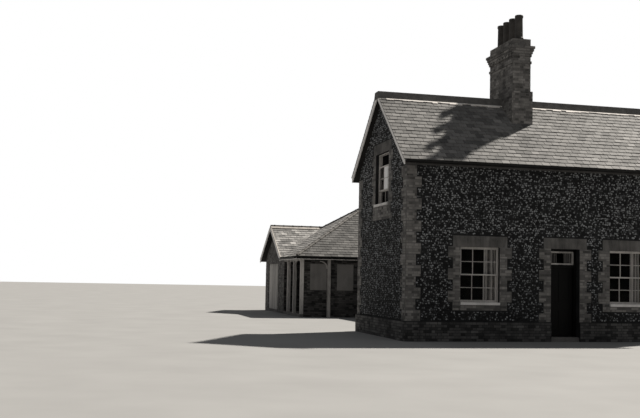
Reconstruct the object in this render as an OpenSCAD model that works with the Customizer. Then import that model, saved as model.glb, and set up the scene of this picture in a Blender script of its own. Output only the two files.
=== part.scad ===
// Railway station building of flint and brick under slate roofs.
// A house of one and a half storeys stands across the line, with its gable to the platform.
// A low range runs on from its back to a far block with a hipped end, a small gable with double
// doors and an open waiting shelter.
// X runs along the house ridge away from the platform, Y runs along the platform, Z is up.
// The origin is the middle of the underside of the house floor.

/* [House walls] */
// Length of the house along its ridge
house_l = 8800; // [8400:50:9600]
// Depth of the house from front wall to back wall
house_d = 4640; // [4500:20:5000]
// Thickness of the house walls
wall_t = 380; // [330:10:420]
// Height of the plinth
plinth_h = 540; // [400:10:700]
// How far the plinth stands out from the walls
plinth_out = 50; // [20:5:90]
// Thickness of the ground floors
floor_t = 120; // [80:10:160]
// Height of the underside of the upper floor
upper_floor_z = 2940; // [2900:10:3100]
// Thickness of the upper floor
upper_floor_t = 220; // [160:10:260]

/* [House roof] */
// Height of the slate edge at the house eaves
eave_z = 4880; // [4780:20:5200]
// Pitch of the house roof in degrees
pitch = 41; // [38:0.5:45]
// How far the house eaves stand out from the walls
eave_out = 270; // [200:10:340]
// How far the house verges stand out from the gable walls
verge_out = 150; // [100:10:220]
// Thickness of the roofs, slates and rafters together
roof_t = 110; // [90:5:130]
// Upright thickness of the ridge capping of the house
cap_t = 45; // [30:5:60]
// Reach of the house ridge capping down each slope, measured level
cap_w = 230; // [140:10:260]

/* [House windows] */
// Width of a house window
win_w = 1150; // [1000:10:1250]
// Height of a house window
win_h = 1510; // [1400:10:1560]
// Height of the foot of the house windows
win_z = 1060; // [1000:10:1080]
// Distance from the platform corner to the first front window
win_1_x = 1560; // [1450:10:1650]
// Distance from the platform corner to the second front window
win_2_x = 6070; // [5950:10:6150]
// Width of the upper gable windows
gable_win_w = 1280; // [1100:10:1340]
// Height of the upper gable windows
gable_win_h = 1490; // [1350:10:1500]
// Height of the foot of the upper gable windows
gable_win_z = 3850; // [3800:10:3900]
// Distance from the front corner to the upper gable windows
gable_win_y = 1590; // [1500:10:1650]
// How deep the windows are set back
win_reveal = 90; // [60:10:130]
// Thickness of a window sill
sill_t = 70; // [50:5:90]
// How far a window sill stands out
sill_out = 60; // [40:5:80]
// Width of a drawn curtain
curtain_w = 400; // [300:10:480]
// Thickness of a gathered curtain
curtain_t = 40; // [25:5:50]

/* [Front doorway] */
// Distance from the platform corner to the front doorway
door_x = 4250; // [4200:10:4330]
// Width of the front doorway
door_w = 880; // [840:10:940]
// Height of the front doorway with its fanlight
door_h = 2580; // [2500:10:2640]
// Height of the underside of the transom
transom_z = 2080; // [2020:10:2140]
// How deep the front door frame is set back
door_reveal = 200; // [160:10:220]

/* [Brick dressings] */
// Thickness of the brick dressings in front of the flint
brick_out = 12; // [6:1:20]
// Height of one block of the toothed dressings, four courses
block_h = 300; // [260:10:320]
// Length of a long block beside an opening
block_long = 360; // [320:10:380]
// Length of a short block beside an opening
block_short = 220; // [180:10:260]
// Length of a long corner block
quoin_long = 420; // [380:10:480]
// Length of a short corner block
quoin_short = 280; // [240:10:340]
// Height of the brick heads over the openings
head_h = 300; // [260:10:320]
// Height of the brick panel under a gable window
panel_h = 400; // [300:20:460]

/* [Chimney] */
// Distance from the platform gable to the chimney
stack_x = 3715; // [3600:5:3740]
// Width of the chimney along the ridge
stack_w = 565; // [520:5:600]
// Distance from the house front to the chimney
stack_y = 1380; // [1340:10:1450]
// Depth of the chimney across the ridge
stack_d = 1650; // [1550:10:1750]
// Height of the top of the chimney brickwork
stack_top_z = 8840; // [8600:20:9200]
// How far the chimney base stands out to each side
base_out = 50; // [30:5:80]
// Number of chimney pots
pots_n = 4; // [3:1:5]
// Height of a chimney pot
pot_h = 750; // [600:10:850]
// Bore of a chimney pot
pot_bore = 180; // [140:5:190]

/* [Low range] */
// Distance along the platform from the house front to the far block
far_y = 14900; // [14500:50:15500]
// Depth of the far block along the platform
far_d = 8200; // [8000:50:8600]
// Distance of the far block behind the house gable
far_x = 400; // [300:10:500]
// Width of the gabled bay at the far end
bay_w = 4700; // [4500:50:4800]
// Distance of the linking range behind the house gable
link_x = 4000; // [3900:20:4400]
// How far the linking range stands in from the road end of the house
link_in = 800; // [740:10:900]
// Thickness of the low walls
low_wall_t = 340; // [300:10:360]
// Height of the slate edge at the low eaves
low_eave_z = 2560; // [2540:10:2700]
// Pitch of the low roofs in degrees
low_pitch = 31; // [28:0.5:33]
// How far the low eaves and verges stand out
low_out = 250; // [220:10:300]
// Radius of the low ridge and hip cappings
roll_r = 75; // [60:5:90]

/* [Waiting shelter] */
// Depth of the open shelter
shelter_d = 2500; // [2200:50:2700]
// Width of a shelter post
post_w = 140; // [110:5:160]
// Distance of the second shelter post from the near wall
post_2_y = 1450; // [1300:10:1550]
// Distance of the third shelter post from the near wall
post_3_y = 2700; // [2600:10:2750]
// Height of the underside of the beam over the posts
beam_z = 2380; // [2340:10:2400]
// Radius of a curved bracket
bracket_r = 330; // [250:10:380]
// Thickness of a curved bracket
bracket_t = 45; // [35:5:60]
// Width of a poster board
board_w = 720; // [660:10:760]
// Height of a poster board
board_h = 1120; // [1000:10:1200]
// Height of the foot of a poster board
board_z = 1140; // [1050:10:1200]
// Distance of the upright on the near wall from the far block's corner
upright_x = 1160; // [1120:10:1240]

/* [Store doorway] */
// Distance of the double doorway from the far corner of the bay
store_in = 800; // [700:10:900]
// Width of the double doorway
store_w = 2400; // [2200:20:2500]
// Height of the double doorway
store_h = 2300; // [2200:10:2320]
// How deep the store door frame is set back
store_reveal = 40; // [20:5:60]
// Width of a ledge on the back of a store door
ledge_w = 160; // [120:10:200]

/* [Low windows] */
// Width of a low window
low_win_w = 1000; // [900:10:1100]
// Height of a low window
low_win_h = 1150; // [1050:10:1200]
// Height of the foot of the low windows
low_win_z = 1000; // [950:10:1050]

/* [Joinery] */
// Thickness of a door leaf
leaf_t = 45; // [40:1:55]
// Gap round a door leaf
leaf_gap = 8; // [7:0.5:10]
// Width of a door or window frame member
frame_w = 60; // [50:2:75]
// Depth of a door or window frame
frame_t = 110; // [100:2:120]
// Width of a sash rail or stile
rail_w = 45; // [38:1:55]
// Thickness of a window pane
pane_t = 6; // [4:1:8]
// Diameter of a hinge pin
pin_d = 12; // [10:1:14]
// Clearance between a hinge pin and its eye
pin_fit = 0.3; // [0.2:0.05:0.4]
// Height of a hinge eye
eye_h = 60; // [50:5:80]
// Depth of the bargeboards
barge_h = 170; // [140:10:220]
// Thickness of the bargeboards
barge_t = 28; // [20:1:36]
// Width of a gutter
gutter_w = 110; // [90:5:125]

/* [Hidden] */
$fn = 48;

over = 1;                       // how far a cut runs past a face
brick = "#6f6a66";
flint = "#4c4b4c";
slate = "#8d8a88";
paint = "#c9c5bd";
dark_paint = "#2f2b29";
stone = "#8a867e";

slope = round(100 * tan(pitch)) / 100;
ridge_z = eave_z + (house_d / 2 + eave_out) * slope;
roof_drop = round(roof_t / cos(pitch));
base_top_z = ridge_z + 130;
low_slope = round(100 * tan(low_pitch)) / 100;
low_drop = round(roof_t / cos(low_pitch));
far_end_y = far_y + far_d;
far_mid_y = far_y + far_d / 2;
far_half = far_d / 2 + low_out;
far_ridge_z = low_eave_z + far_half * low_slope;
hip_x = far_x - low_out;
hip_top_x = hip_x + far_half;
bay_y = far_end_y - bay_w;
bay_mid_y = far_end_y - bay_w / 2;
bay_half = bay_w / 2 + low_out;
bay_ridge_z = low_eave_z + bay_half * low_slope;
link_end_x = house_l - link_in;
link_mid_x = (link_x + link_end_x) / 2;
link_half = (link_end_x - link_x) / 2 + low_out;
link_ridge_z = low_eave_z + link_half * low_slope;
link_top_y = far_y - low_out + link_half;
shelter_x = far_x + shelter_d;
store_y = far_end_y - store_in - store_w;
store_clear_h = store_h - floor_t - frame_w;
front_clear_h = transom_z - floor_t;
sash_d = (frame_t - 10) / 2;
gutter_wall = 8;
board_gap = 25;
board_t = 20;
upright_out = bracket_t + board_t;
stop_w = 12;
stop_gap = 5;
eye_r = pin_d / 2 + 7;
pin_y = eye_r + 3;
strap_t = 6;
strap_l = 320;
link_wins_y = spread(house_d, far_y, low_win_w, 3);
far_wins_x = spread(shelter_x, house_l, low_win_w, 2);
end_wins_y = spread(far_y, far_end_y, low_win_w, 3);

// Starts of n pieces of width w, evenly spread between a and b
function spread(a, b, w, n) = [for (i = [0 : n - 1]) a + (b - a) * (i + 0.5) / n - w / 2];

// Outline of a gabled space across y0 to y1, its slopes lowered by drop and run on past the eaves by grow
function gable_outline(y0, y1, z, rise, drop, grow) = [[y0 - grow, -over - grow], [y1 + grow, -over - grow],
    [y1 + grow, z - drop - grow * rise], [(y0 + y1) / 2, z - drop + (y1 - y0) / 2 * rise],
    [y0 - grow, z - drop - grow * rise]];

// The house's front corner at the platform stands half a house away from the origin
module placed() {
    translate([-house_l / 2, -house_d / 2, 0]) children();
}

// Box between two corners
module box(a, b) {
    translate(a) cube([b[0] - a[0], b[1] - a[1], b[2] - a[2]]);
}

// Prism along X over [y, z] points
module along_x(x0, x1, points) {
    translate([x0, 0, 0]) rotate([90, 0, 90]) linear_extrude(x1 - x0) polygon(points);
}

// Prism along Y over [x, z] points
module along_y(y0, y1, points) {
    translate([0, y1, 0]) rotate([90, 0, 0]) linear_extrude(y1 - y0) polygon(points);
}

// Turn what is drawn for the front wall to the platform gable
module on_platform_gable() {
    mirror([1, -1, 0]) children();
}

// Turn what is drawn for the front wall to the road gable
module on_road_gable() {
    translate([house_l, 0, 0]) mirror([1, 0, 0]) on_platform_gable() children();
}

// Turn what is drawn for the front wall to the back wall
module on_back() {
    translate([0, house_d, 0]) mirror([0, 1, 0]) children();
}

// House walls

// Space enclosed by the slates, and with a drop the space under the rafters
module house_mass(drop = 0, grow = 0) {
    along_x(-verge_out - grow, house_l + verge_out + grow,
        gable_outline(-eave_out, house_d + eave_out, eave_z, slope, drop, grow));
}

module chimney_box(out, z0, z1) {
    box([stack_x - out, stack_y - out, z0], [stack_x + stack_w + out, stack_y + stack_d + out, z1]);
}

// Stretch of the front wall from x0 to x1, with its window openings and its plinth
module front_wall(x0, x1, plinth_x0, plinth_x1) {
    color(flint) placed() {
        intersection() {
            difference() {
                box([x0, 0, 0], [x1, wall_t, ridge_z]);
                for (x = [win_1_x, win_2_x])
                    box([x, -over, win_z - sill_t], [x + win_w, wall_t + over, win_z + win_h]);
            }
            house_mass(roof_drop);
        }
        difference() {
            box([plinth_x0, -plinth_out, 0], [plinth_x1, wall_t, plinth_h]);
            box([x0, 0, -over], [x1, wall_t + over, plinth_h + over]);
        }
    }
}

module front_wall_left() {
    front_wall(0, door_x, -plinth_out, door_x);
}

module front_wall_right() {
    front_wall(door_x + door_w, house_l, door_x + door_w, house_l + plinth_out);
}

module front_wall_head() {
    color(flint) placed() intersection() {
        box([door_x, 0, door_h], [door_x + door_w, wall_t, ridge_z]);
        house_mass(roof_drop);
    }
}

// Gable wall between the front and back walls, drawn at the platform end
module gable_wall() {
    intersection() {
        difference() {
            box([0, wall_t, 0], [wall_t, house_d - wall_t, ridge_z]);
            box([-over, gable_win_y, gable_win_z - sill_t],
                [wall_t + over, gable_win_y + gable_win_w, gable_win_z + gable_win_h]);
        }
        house_mass(roof_drop);
    }
    box([-plinth_out, wall_t, 0], [0, house_d - wall_t, plinth_h]);
}

module platform_gable_wall() {
    color(flint) placed() gable_wall();
}

module road_gable_wall() {
    color(flint) placed() translate([house_l, 0, 0]) mirror([1, 0, 0]) gable_wall();
}

module house_back_wall() {
    color(flint) placed() {
        intersection() {
            difference() {
                box([0, house_d - wall_t, 0], [house_l, house_d, ridge_z]);
                box([win_1_x, house_d - wall_t - over, win_z - sill_t],
                    [win_1_x + win_w, house_d + over, win_z + win_h]);
            }
            house_mass(roof_drop);
        }
        difference() {
            box([-plinth_out, house_d - wall_t, 0], [house_l + plinth_out, house_d + plinth_out, plinth_h]);
            box([0, house_d - wall_t - over, -over], [house_l, house_d, plinth_h + over]);
            box([link_x, house_d - over, -over], [link_end_x, house_d + plinth_out + over, plinth_h + over]);
        }
    }
}

module house_floor() {
    color(stone) placed() {
        difference() {
            box([wall_t, wall_t, 0], [house_l - wall_t, house_d - wall_t, floor_t]);
            chimney_box(0, -over, floor_t + over);
        }
        box([door_x, 0, 0], [door_x + door_w, wall_t, floor_t]);
    }
}

module upper_floor() {
    color(dark_paint) placed() difference() {
        box([wall_t, wall_t, upper_floor_z], [house_l - wall_t, house_d - wall_t, upper_floor_z + upper_floor_t]);
        chimney_box(0, upper_floor_z - over, upper_floor_z + upper_floor_t + over);
    }
}

// Brick dressings

// Blocks beside an opening from z0 up to z1, long and short by turns from the top down
module teeth(z0, z1) {
    n = ceil((z1 - z0) / block_h);
    for (i = [0 : n - 1]) {
        foot = max(z0, z1 - (i + 1) * block_h);
        translate([0, 0, foot]) cube([i % 2 == 0 ? block_long : block_short, brick_out, z1 - i * block_h - foot]);
    }
}

// Dressing round an opening of width w from z0 to z1 in the front wall
module surround(w, z0, z1) {
    translate([0, -brick_out, 0]) {
        translate([w, 0, 0]) teeth(z0, z1);
        mirror([1, 0, 0]) teeth(z0, z1);
        translate([-block_short, 0, z1]) cube([w + 2 * block_short, brick_out, head_h]);
    }
}

// Dressing of an upper window with the brick panel under its sill
module gable_surround() {
    foot = gable_win_z - sill_t - panel_h;
    translate([gable_win_y, 0, 0]) {
        surround(gable_win_w, foot, gable_win_z + gable_win_h);
        translate([0, -brick_out, foot]) cube([gable_win_w, brick_out, panel_h]);
    }
}

// Dressing of a ground floor window at x with two courses under its sill
module window_surround(x) {
    foot = win_z - sill_t - block_h / 2;
    translate([x, 0, 0]) {
        surround(win_w, foot, win_z + win_h);
        translate([0, -brick_out, foot]) cube([win_w, brick_out, block_h / 2]);
    }
}

module opening_surrounds() {
    color(brick) placed() {
        window_surround(win_1_x);
        window_surround(win_2_x);
        translate([door_x, 0, 0]) surround(door_w, plinth_h, door_h);
        on_platform_gable() gable_surround();
        on_road_gable() gable_surround();
        on_back() window_surround(win_1_x);
    }
}

// Blocks that wrap a corner, long on one face where they are short on the other
module corner_blocks() {
    top = eave_z - roof_drop + (eave_out - brick_out) * slope;
    n = floor((top - plinth_h) / block_h);
    for (i = [0 : n - 1]) {
        a = i % 2 == 0 ? quoin_long : quoin_short;
        b = i % 2 == 0 ? quoin_short : quoin_long;
        translate([0, 0, plinth_h + i * block_h]) difference() {
            box([-brick_out, -brick_out, 0], [a, b, block_h]);
            box([0, 0, -over], [a + over, b + over, block_h + over]);
        }
    }
}

module corner_quoins() {
    color(brick) placed() for (mx = [0, 1], my = [0, 1])
        translate([mx * house_l, my * house_d, 0]) mirror([mx, 0, 0]) mirror([0, my, 0]) corner_blocks();
}

// House roof

module house_roof() {
    color(slate) placed() difference() {
        house_mass();
        house_mass(roof_drop, over);
        chimney_box(base_out, eave_z, ridge_z + over);
    }
}

module house_ridge() {
    mid = house_d / 2;
    low = ridge_z - cap_w * slope;
    color("#3c3a3b") placed() difference() {
        along_x(-verge_out - barge_t, house_l + verge_out + barge_t, [[mid - cap_w, low], [mid, ridge_z],
            [mid + cap_w, low], [mid + cap_w, low + cap_t], [mid, ridge_z + cap_t], [mid - cap_w, low + cap_t]]);
        chimney_box(base_out, eave_z, ridge_z + cap_t + over);
    }
}

// Pair of bargeboards at x0 on a gable that spans y0 to y1
module barge_pair(x0, y0, y1, z, rise) {
    top = z + (y1 - y0) / 2 * rise;
    mid = (y0 + y1) / 2;
    along_x(x0, x0 + barge_t, [[y0, z - barge_h], [y0, z], [mid, top], [y1, z], [y1, z - barge_h],
        [mid, top - barge_h]]);
}

module house_bargeboards() {
    color(paint) placed() for (x = [-verge_out - barge_t, house_l + verge_out])
        barge_pair(x, -eave_out, house_d + eave_out, eave_z, slope);
}

// Half-round gutter of a given length along X, its back at y = 0 and its rim at z = 0
module gutter(length) {
    r = gutter_w / 2;
    translate([0, -r, 0]) intersection() {
        rotate([0, 90, 0]) difference() {
            cylinder(r = r, h = length);
            translate([0, 0, gutter_wall]) cylinder(r = r - gutter_wall, h = length - 2 * gutter_wall);
        }
        translate([0, -r, -r]) cube([length, gutter_w, r]);
    }
}

module house_gutters() {
    module front_gutter() {
        translate([-verge_out, -eave_out, eave_z - roof_drop / 3]) gutter(house_l + 2 * verge_out);
    }
    color("#33312f") placed() {
        front_gutter();
        on_back() front_gutter();
    }
}

// Chimney

module chimney_stack() {
    course = 75;
    step = 25;
    string_z = stack_top_z - 740;
    cornice_z = stack_top_z - 520;
    color(brick) placed() {
        chimney_box(0, 0, stack_top_z);
        chimney_box(base_out, eave_z + roof_drop, base_top_z);
        chimney_box(step, string_z, string_z + course);
        for (i = [1 : 4]) chimney_box(i * step, cornice_z + (i - 1) * course, cornice_z + i * course);
    }
}

module pot() {
    r = pot_bore / 2;
    foot_h = 60;
    collar = 90;
    difference() {
        rotate_extrude() polygon([[0, 0], [r + 45, 0], [r + 45, foot_h], [r + 28, collar], [r + 18, pot_h - collar],
            [r + 34, pot_h - collar + 20], [r + 34, pot_h - 20], [r + 24, pot_h], [0, pot_h]]);
        translate([0, 0, foot_h]) cylinder(r = r, h = pot_h);
    }
}

module chimney_pots() {
    color("#5b534d") placed() for (y = spread(stack_y, stack_y + stack_d, 0, pots_n))
        translate([stack_x + stack_w / 2, y, stack_top_z]) pot();
}

// Windows

// Frame of a sash window in an opening of w by h: box frame, outer upper sash and inner lower sash
module sash_window(w, h) {
    half = (h + rail_w) / 2 - frame_w;
    difference() {
        cube([w, frame_t, h]);
        translate([frame_w, -over, frame_w]) cube([w - 2 * frame_w, frame_t + 2 * over, h - 2 * frame_w]);
    }
    for (lower = [0, 1])
        translate([frame_w, 5 + lower * sash_d, lower == 1 ? frame_w : (h - rail_w) / 2]) difference() {
            cube([w - 2 * frame_w, sash_d, half]);
            translate([rail_w, -over, rail_w])
                cube([w - 2 * frame_w - 2 * rail_w, sash_d + 2 * over, half - 2 * rail_w]);
        }
}

// The two panes of a sash window
module sash_panes(w, h) {
    half = (h + rail_w) / 2 - frame_w;
    for (lower = [0, 1])
        translate([frame_w + rail_w, 5 + lower * sash_d + (sash_d - pane_t) / 2,
            (lower == 1 ? frame_w : (h - rail_w) / 2) + rail_w])
            cube([w - 2 * frame_w - 2 * rail_w, pane_t, half - 2 * rail_w]);
}

// The frame, the panes or the sill of one window whose opening starts at the origin
module window(piece, w, h) {
    if (piece == "frame") translate([0, win_reveal, 0]) sash_window(w, h);
    if (piece == "panes") translate([0, win_reveal, 0]) sash_panes(w, h);
    if (piece == "sill") box([0, -sill_out, -sill_t], [w, win_reveal + frame_t, 0]);
}

module in_house_windows(piece) {
    for (x = [win_1_x, win_2_x]) translate([x, 0, win_z]) window(piece, win_w, win_h);
    on_back() translate([win_1_x, 0, win_z]) window(piece, win_w, win_h);
    on_platform_gable() translate([gable_win_y, 0, gable_win_z]) window(piece, gable_win_w, gable_win_h);
    on_road_gable() translate([gable_win_y, 0, gable_win_z]) window(piece, gable_win_w, gable_win_h);
}

// Carry children drawn for an opening at the origin of the front wall to every low window
module at_low_windows() {
    for (y = link_wins_y) {
        translate([link_x, 0, 0]) on_platform_gable() translate([y, 0, low_win_z]) children();
        translate([-link_in, 0, 0]) on_road_gable() translate([y, 0, low_win_z]) children();
    }
    for (y = end_wins_y) on_road_gable() translate([y, 0, low_win_z]) children();
    for (x = far_wins_x) translate([x, far_end_y, low_win_z]) mirror([0, 1, 0]) children();
}

module house_windows() {
    color(paint) placed() in_house_windows("frame");
}

module low_windows() {
    color(paint) placed() at_low_windows() window("frame", low_win_w, low_win_h);
}

// Every pane, with the fanlight over the front door
module window_glass() {
    color("#20242a") placed() {
        in_house_windows("panes");
        at_low_windows() window("panes", low_win_w, low_win_h);
        translate([door_x + frame_w, door_reveal + frame_t / 2, transom_z + frame_w])
            cube([door_w - 2 * frame_w, pane_t, door_h - transom_z - 2 * frame_w]);
    }
}

module window_sills() {
    color(stone) placed() {
        in_house_windows("sill");
        at_low_windows() window("sill", low_win_w, low_win_h);
    }
}

// Curtains hang inside the front windows at their far side
module curtains() {
    y = win_reveal + frame_t + 40;
    clear = 10;
    color("#b5b1a8") placed() for (x = [win_1_x, win_2_x])
        box([x + win_w - curtain_w, y, win_z + clear], [x + win_w - clear, y + curtain_t, win_z + win_h - 0.3]);
}

// Doors

// Jambs and head of a doorway w wide and h high, with the stop that leaves clear_h high close against.
// The leaves open towards +Y.
module door_frame(w, h, clear_h) {
    stop_d = frame_t - leaf_t - stop_gap;
    difference() {
        cube([w, frame_t, h]);
        translate([frame_w, -over, -over]) cube([w - 2 * frame_w, frame_t + 2 * over, h - frame_w + over]);
    }
    difference() {
        translate([frame_w, 0, 0]) cube([w - 2 * frame_w, stop_d, clear_h]);
        translate([frame_w + stop_w, -over, -over])
            cube([w - 2 * frame_w - 2 * stop_w, stop_d + 2 * over, clear_h - stop_w + over]);
    }
}

// Frame side of a hinge at height z: a lug on the jamb and a pin that stands in the leaf's eye.
// The jamb's inner face lies at x = 0 and its back face at y = 0.
module hinge_lug(z) {
    translate([leaf_gap / 2, pin_y, z - eye_h]) {
        cylinder(r = eye_r, h = eye_h - pin_fit);
        cylinder(d = pin_d, h = 2 * eye_h - 5);
    }
    box([-frame_w * 0.7, 0, z - eye_h], [leaf_gap / 2, pin_y, z - pin_fit]);
}

// Leaf side of a hinge: an eye round the pin and a strap along the leaf's back face at y = 0
module hinge_strap(z) {
    difference() {
        union() {
            translate([leaf_gap / 2, pin_y, z]) cylinder(r = eye_r, h = eye_h);
            box([leaf_gap / 2, 0, z], [leaf_gap / 2 + strap_l, strap_t, z + eye_h]);
            box([leaf_gap / 2, 0, z], [leaf_gap / 2 + eye_r, pin_y, z + eye_h]);
        }
        translate([leaf_gap / 2, pin_y, z - over]) cylinder(r = pin_d / 2 + pin_fit, h = eye_h + 2 * over);
    }
}

function hinge_heights(h) = [260, h - 320];

module front_door_frame() {
    color(dark_paint) placed() translate([door_x, door_reveal, floor_t]) {
        door_frame(door_w, door_h - floor_t, front_clear_h);
        box([frame_w, 0, front_clear_h], [door_w - frame_w, frame_t, front_clear_h + frame_w]);
        translate([frame_w, frame_t, 0]) for (z = hinge_heights(front_clear_h)) hinge_lug(z);
    }
}

// Panelled leaf with a knob on each side
module front_door() {
    w = door_w - 2 * frame_w - 2 * leaf_gap;
    h = front_clear_h - 2 * leaf_gap;
    stile = 110;
    panel_w = (w - 3 * stile) / 2;
    sunk = 12;
    lock_z = 850;
    rows = [[stile * 2, lock_z - stile], [lock_z + stile, h - stile]];
    color(dark_paint) placed() translate([door_x + frame_w, door_reveal + frame_t, floor_t]) {
        translate([leaf_gap, -leaf_t, leaf_gap]) difference() {
            cube([w, leaf_t, h]);
            for (i = [0, 1], row = rows, y = [-over, leaf_t - sunk])
                translate([stile + i * (panel_w + stile), y, row[0]]) cube([panel_w, sunk + over, row[1] - row[0]]);
        }
        for (z = hinge_heights(front_clear_h)) hinge_strap(z);
        translate([leaf_gap + w - stile / 2, 0, lock_z + leaf_gap]) {
            rotate([-90, 0, 0]) knob();
            translate([0, -leaf_t, 0]) rotate([90, 0, 0]) knob();
        }
    }
}

module knob() {
    rotate_extrude() polygon([[0, 0], [26, 0], [26, 5], [9, 8], [9, 30], [24, 38], [28, 48], [22, 58], [0, 62]]);
}

// Carry what is drawn for a doorway that opens towards +Y to the bay wall, where it opens to the platform
module in_store_doorway() {
    placed() translate([far_x + store_reveal + frame_t, store_y, floor_t]) rotate([0, 0, 90]) children();
}

module store_door_frame() {
    color(paint) in_store_doorway() {
        door_frame(store_w, store_h - floor_t, store_clear_h);
        for (side = [0, 1]) translate([side * store_w, 0, 0]) mirror([side, 0, 0])
            translate([frame_w, frame_t, 0]) for (z = hinge_heights(store_clear_h)) hinge_lug(z);
    }
}

// Boarded leaf with three ledges and two braces on its back, hinged at x = 0 of the frame's inner face
module store_leaf() {
    w = (store_w - 2 * frame_w - 3 * leaf_gap) / 2;
    h = store_clear_h - 2 * leaf_gap;
    board_t = leaf_t * 0.55;
    ledges = [180, h / 2 - ledge_w / 2, h - 180 - ledge_w];
    translate([leaf_gap, -board_t, leaf_gap]) cube([w, board_t, h]);
    translate([leaf_gap, -leaf_t, leaf_gap]) {
        for (z = ledges) translate([2 * stop_w, 0, z]) cube([w - 4 * stop_w, leaf_t - board_t, ledge_w]);
        for (i = [0, 1])
            along_y(0, leaf_t - board_t, [[2 * stop_w, ledges[i] + ledge_w], [2 * stop_w + ledge_w, ledges[i] + ledge_w],
                [w - 2 * stop_w, ledges[i + 1]], [w - 2 * stop_w - ledge_w, ledges[i + 1]]]);
    }
    for (z = hinge_heights(store_clear_h)) hinge_strap(z);
}

module store_door_near() {
    color(paint) in_store_doorway() translate([frame_w, frame_t, 0]) store_leaf();
}

module store_door_far() {
    color(paint) in_store_doorway() translate([store_w - frame_w, frame_t, 0]) mirror([1, 0, 0]) store_leaf();
}

// Low range

// Space enclosed by the far block's slates: a gabled roof, cut back above the slope of its hip as far as
// the near slope of the bay's gable
module far_mass(drop = 0, grow = 0) {
    eave = low_eave_z - drop;
    reach = far_half + low_out;
    top = eave + reach * low_slope;
    start_y = far_y - 2 * low_out;
    difference() {
        along_x(hip_x - grow, house_l + low_out + grow,
            gable_outline(far_y - low_out, far_end_y + low_out, low_eave_z, low_slope, drop, grow));
        intersection() {
            along_y(start_y, far_end_y,
                [[hip_x - low_out, eave - low_out * low_slope], [hip_x + reach, top], [hip_x - low_out, top]]);
            along_x(hip_x - low_out, hip_x + reach, [[start_y, eave + (far_y - low_out - bay_y) * low_slope],
                [bay_y - low_out + reach, top], [start_y, top]]);
        }
    }
}

// Space enclosed by the link's slates, run on into the far block
module link_mass(drop = 0, grow = 0) {
    along_y(house_d - grow, far_mid_y,
        gable_outline(link_x - low_out, link_end_x + low_out, low_eave_z, low_slope, drop, grow));
}

module low_mass(drop = 0, grow = 0) {
    far_mass(drop, grow);
    link_mass(drop, grow);
}

// Low wall over a plan rectangle, up to the rafters
module low_wall(a, b) {
    intersection() {
        box([a[0], a[1], 0], [b[0], b[1], far_ridge_z]);
        low_mass(low_drop, over);
    }
}

module low_window_cuts() {
    at_low_windows() box([0, -over, -sill_t], [low_win_w, low_wall_t + over, low_win_h]);
}

module near_wall() {
    color(brick) placed() {
        low_wall([far_x + post_w, far_y], [link_x + low_wall_t, far_y + low_wall_t]);
        low_wall([link_end_x - low_wall_t, far_y], [house_l, far_y + low_wall_t]);
    }
}

module store_wall_near() {
    color(brick) placed() low_wall([far_x, bay_y + low_wall_t], [far_x + low_wall_t, store_y]);
}

module store_wall_far() {
    color(brick) placed() low_wall([far_x, store_y + store_w], [far_x + low_wall_t, far_end_y - low_wall_t]);
}

module store_wall_head() {
    color(brick) placed() difference() {
        low_wall([far_x, store_y], [far_x + low_wall_t, store_y + store_w]);
        box([far_x - over, store_y - over, -over], [far_x + low_wall_t + over, store_y + store_w + over, store_h]);
    }
}

module shelter_back_wall() {
    color(brick) placed() low_wall([shelter_x, far_y + low_wall_t], [shelter_x + low_wall_t, bay_y]);
}

module shelter_side_wall() {
    color(brick) placed() low_wall([far_x, bay_y], [shelter_x + low_wall_t, bay_y + low_wall_t]);
}

module far_wall() {
    color(brick) placed() difference() {
        low_wall([far_x, far_end_y - low_wall_t], [house_l, far_end_y]);
        low_window_cuts();
    }
}

module far_end_wall() {
    color(brick) placed() difference() {
        low_wall([house_l - low_wall_t, far_y + low_wall_t], [house_l, far_end_y - low_wall_t]);
        low_window_cuts();
    }
}

module link_platform_wall() {
    color(brick) placed() difference() {
        low_wall([link_x, house_d], [link_x + low_wall_t, far_y]);
        low_window_cuts();
    }
}

module link_road_wall() {
    color(brick) placed() difference() {
        low_wall([link_end_x - low_wall_t, house_d], [link_end_x, far_y]);
        low_window_cuts();
    }
}

// Floors of the shelter, and of the store and link behind it
module low_floor() {
    t = low_wall_t;
    color(stone) placed() {
        box([far_x, far_y + t, 0], [shelter_x, bay_y, floor_t]);
        box([far_x, far_y, 0], [far_x + post_w, far_y + t, floor_t]);
        box([link_x + t, house_d, 0], [link_end_x - t, far_y + t, floor_t]);
        box([shelter_x + t, far_y + t, 0], [house_l - t, far_end_y - t, floor_t]);
        box([far_x + t, bay_y + t, 0], [shelter_x + t, far_end_y - t, floor_t]);
        box([far_x, store_y, 0], [far_x + t, store_y + store_w, floor_t]);
    }
}

module far_roof() {
    color(slate) placed() difference() {
        far_mass();
        low_mass(low_drop, over);
    }
}

module link_roof() {
    color(slate) placed() difference() {
        link_mass();
        far_mass();
        link_mass(low_drop, over);
    }
}

// Round capping along a line that starts at a point, runs at a heading and climbs at an angle
module roll(start, heading, climb, length) {
    translate(start) rotate([0, 0, heading]) rotate([0, 90 - climb, 0]) cylinder(r = roll_r, h = length, $fn = 12);
}

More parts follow.
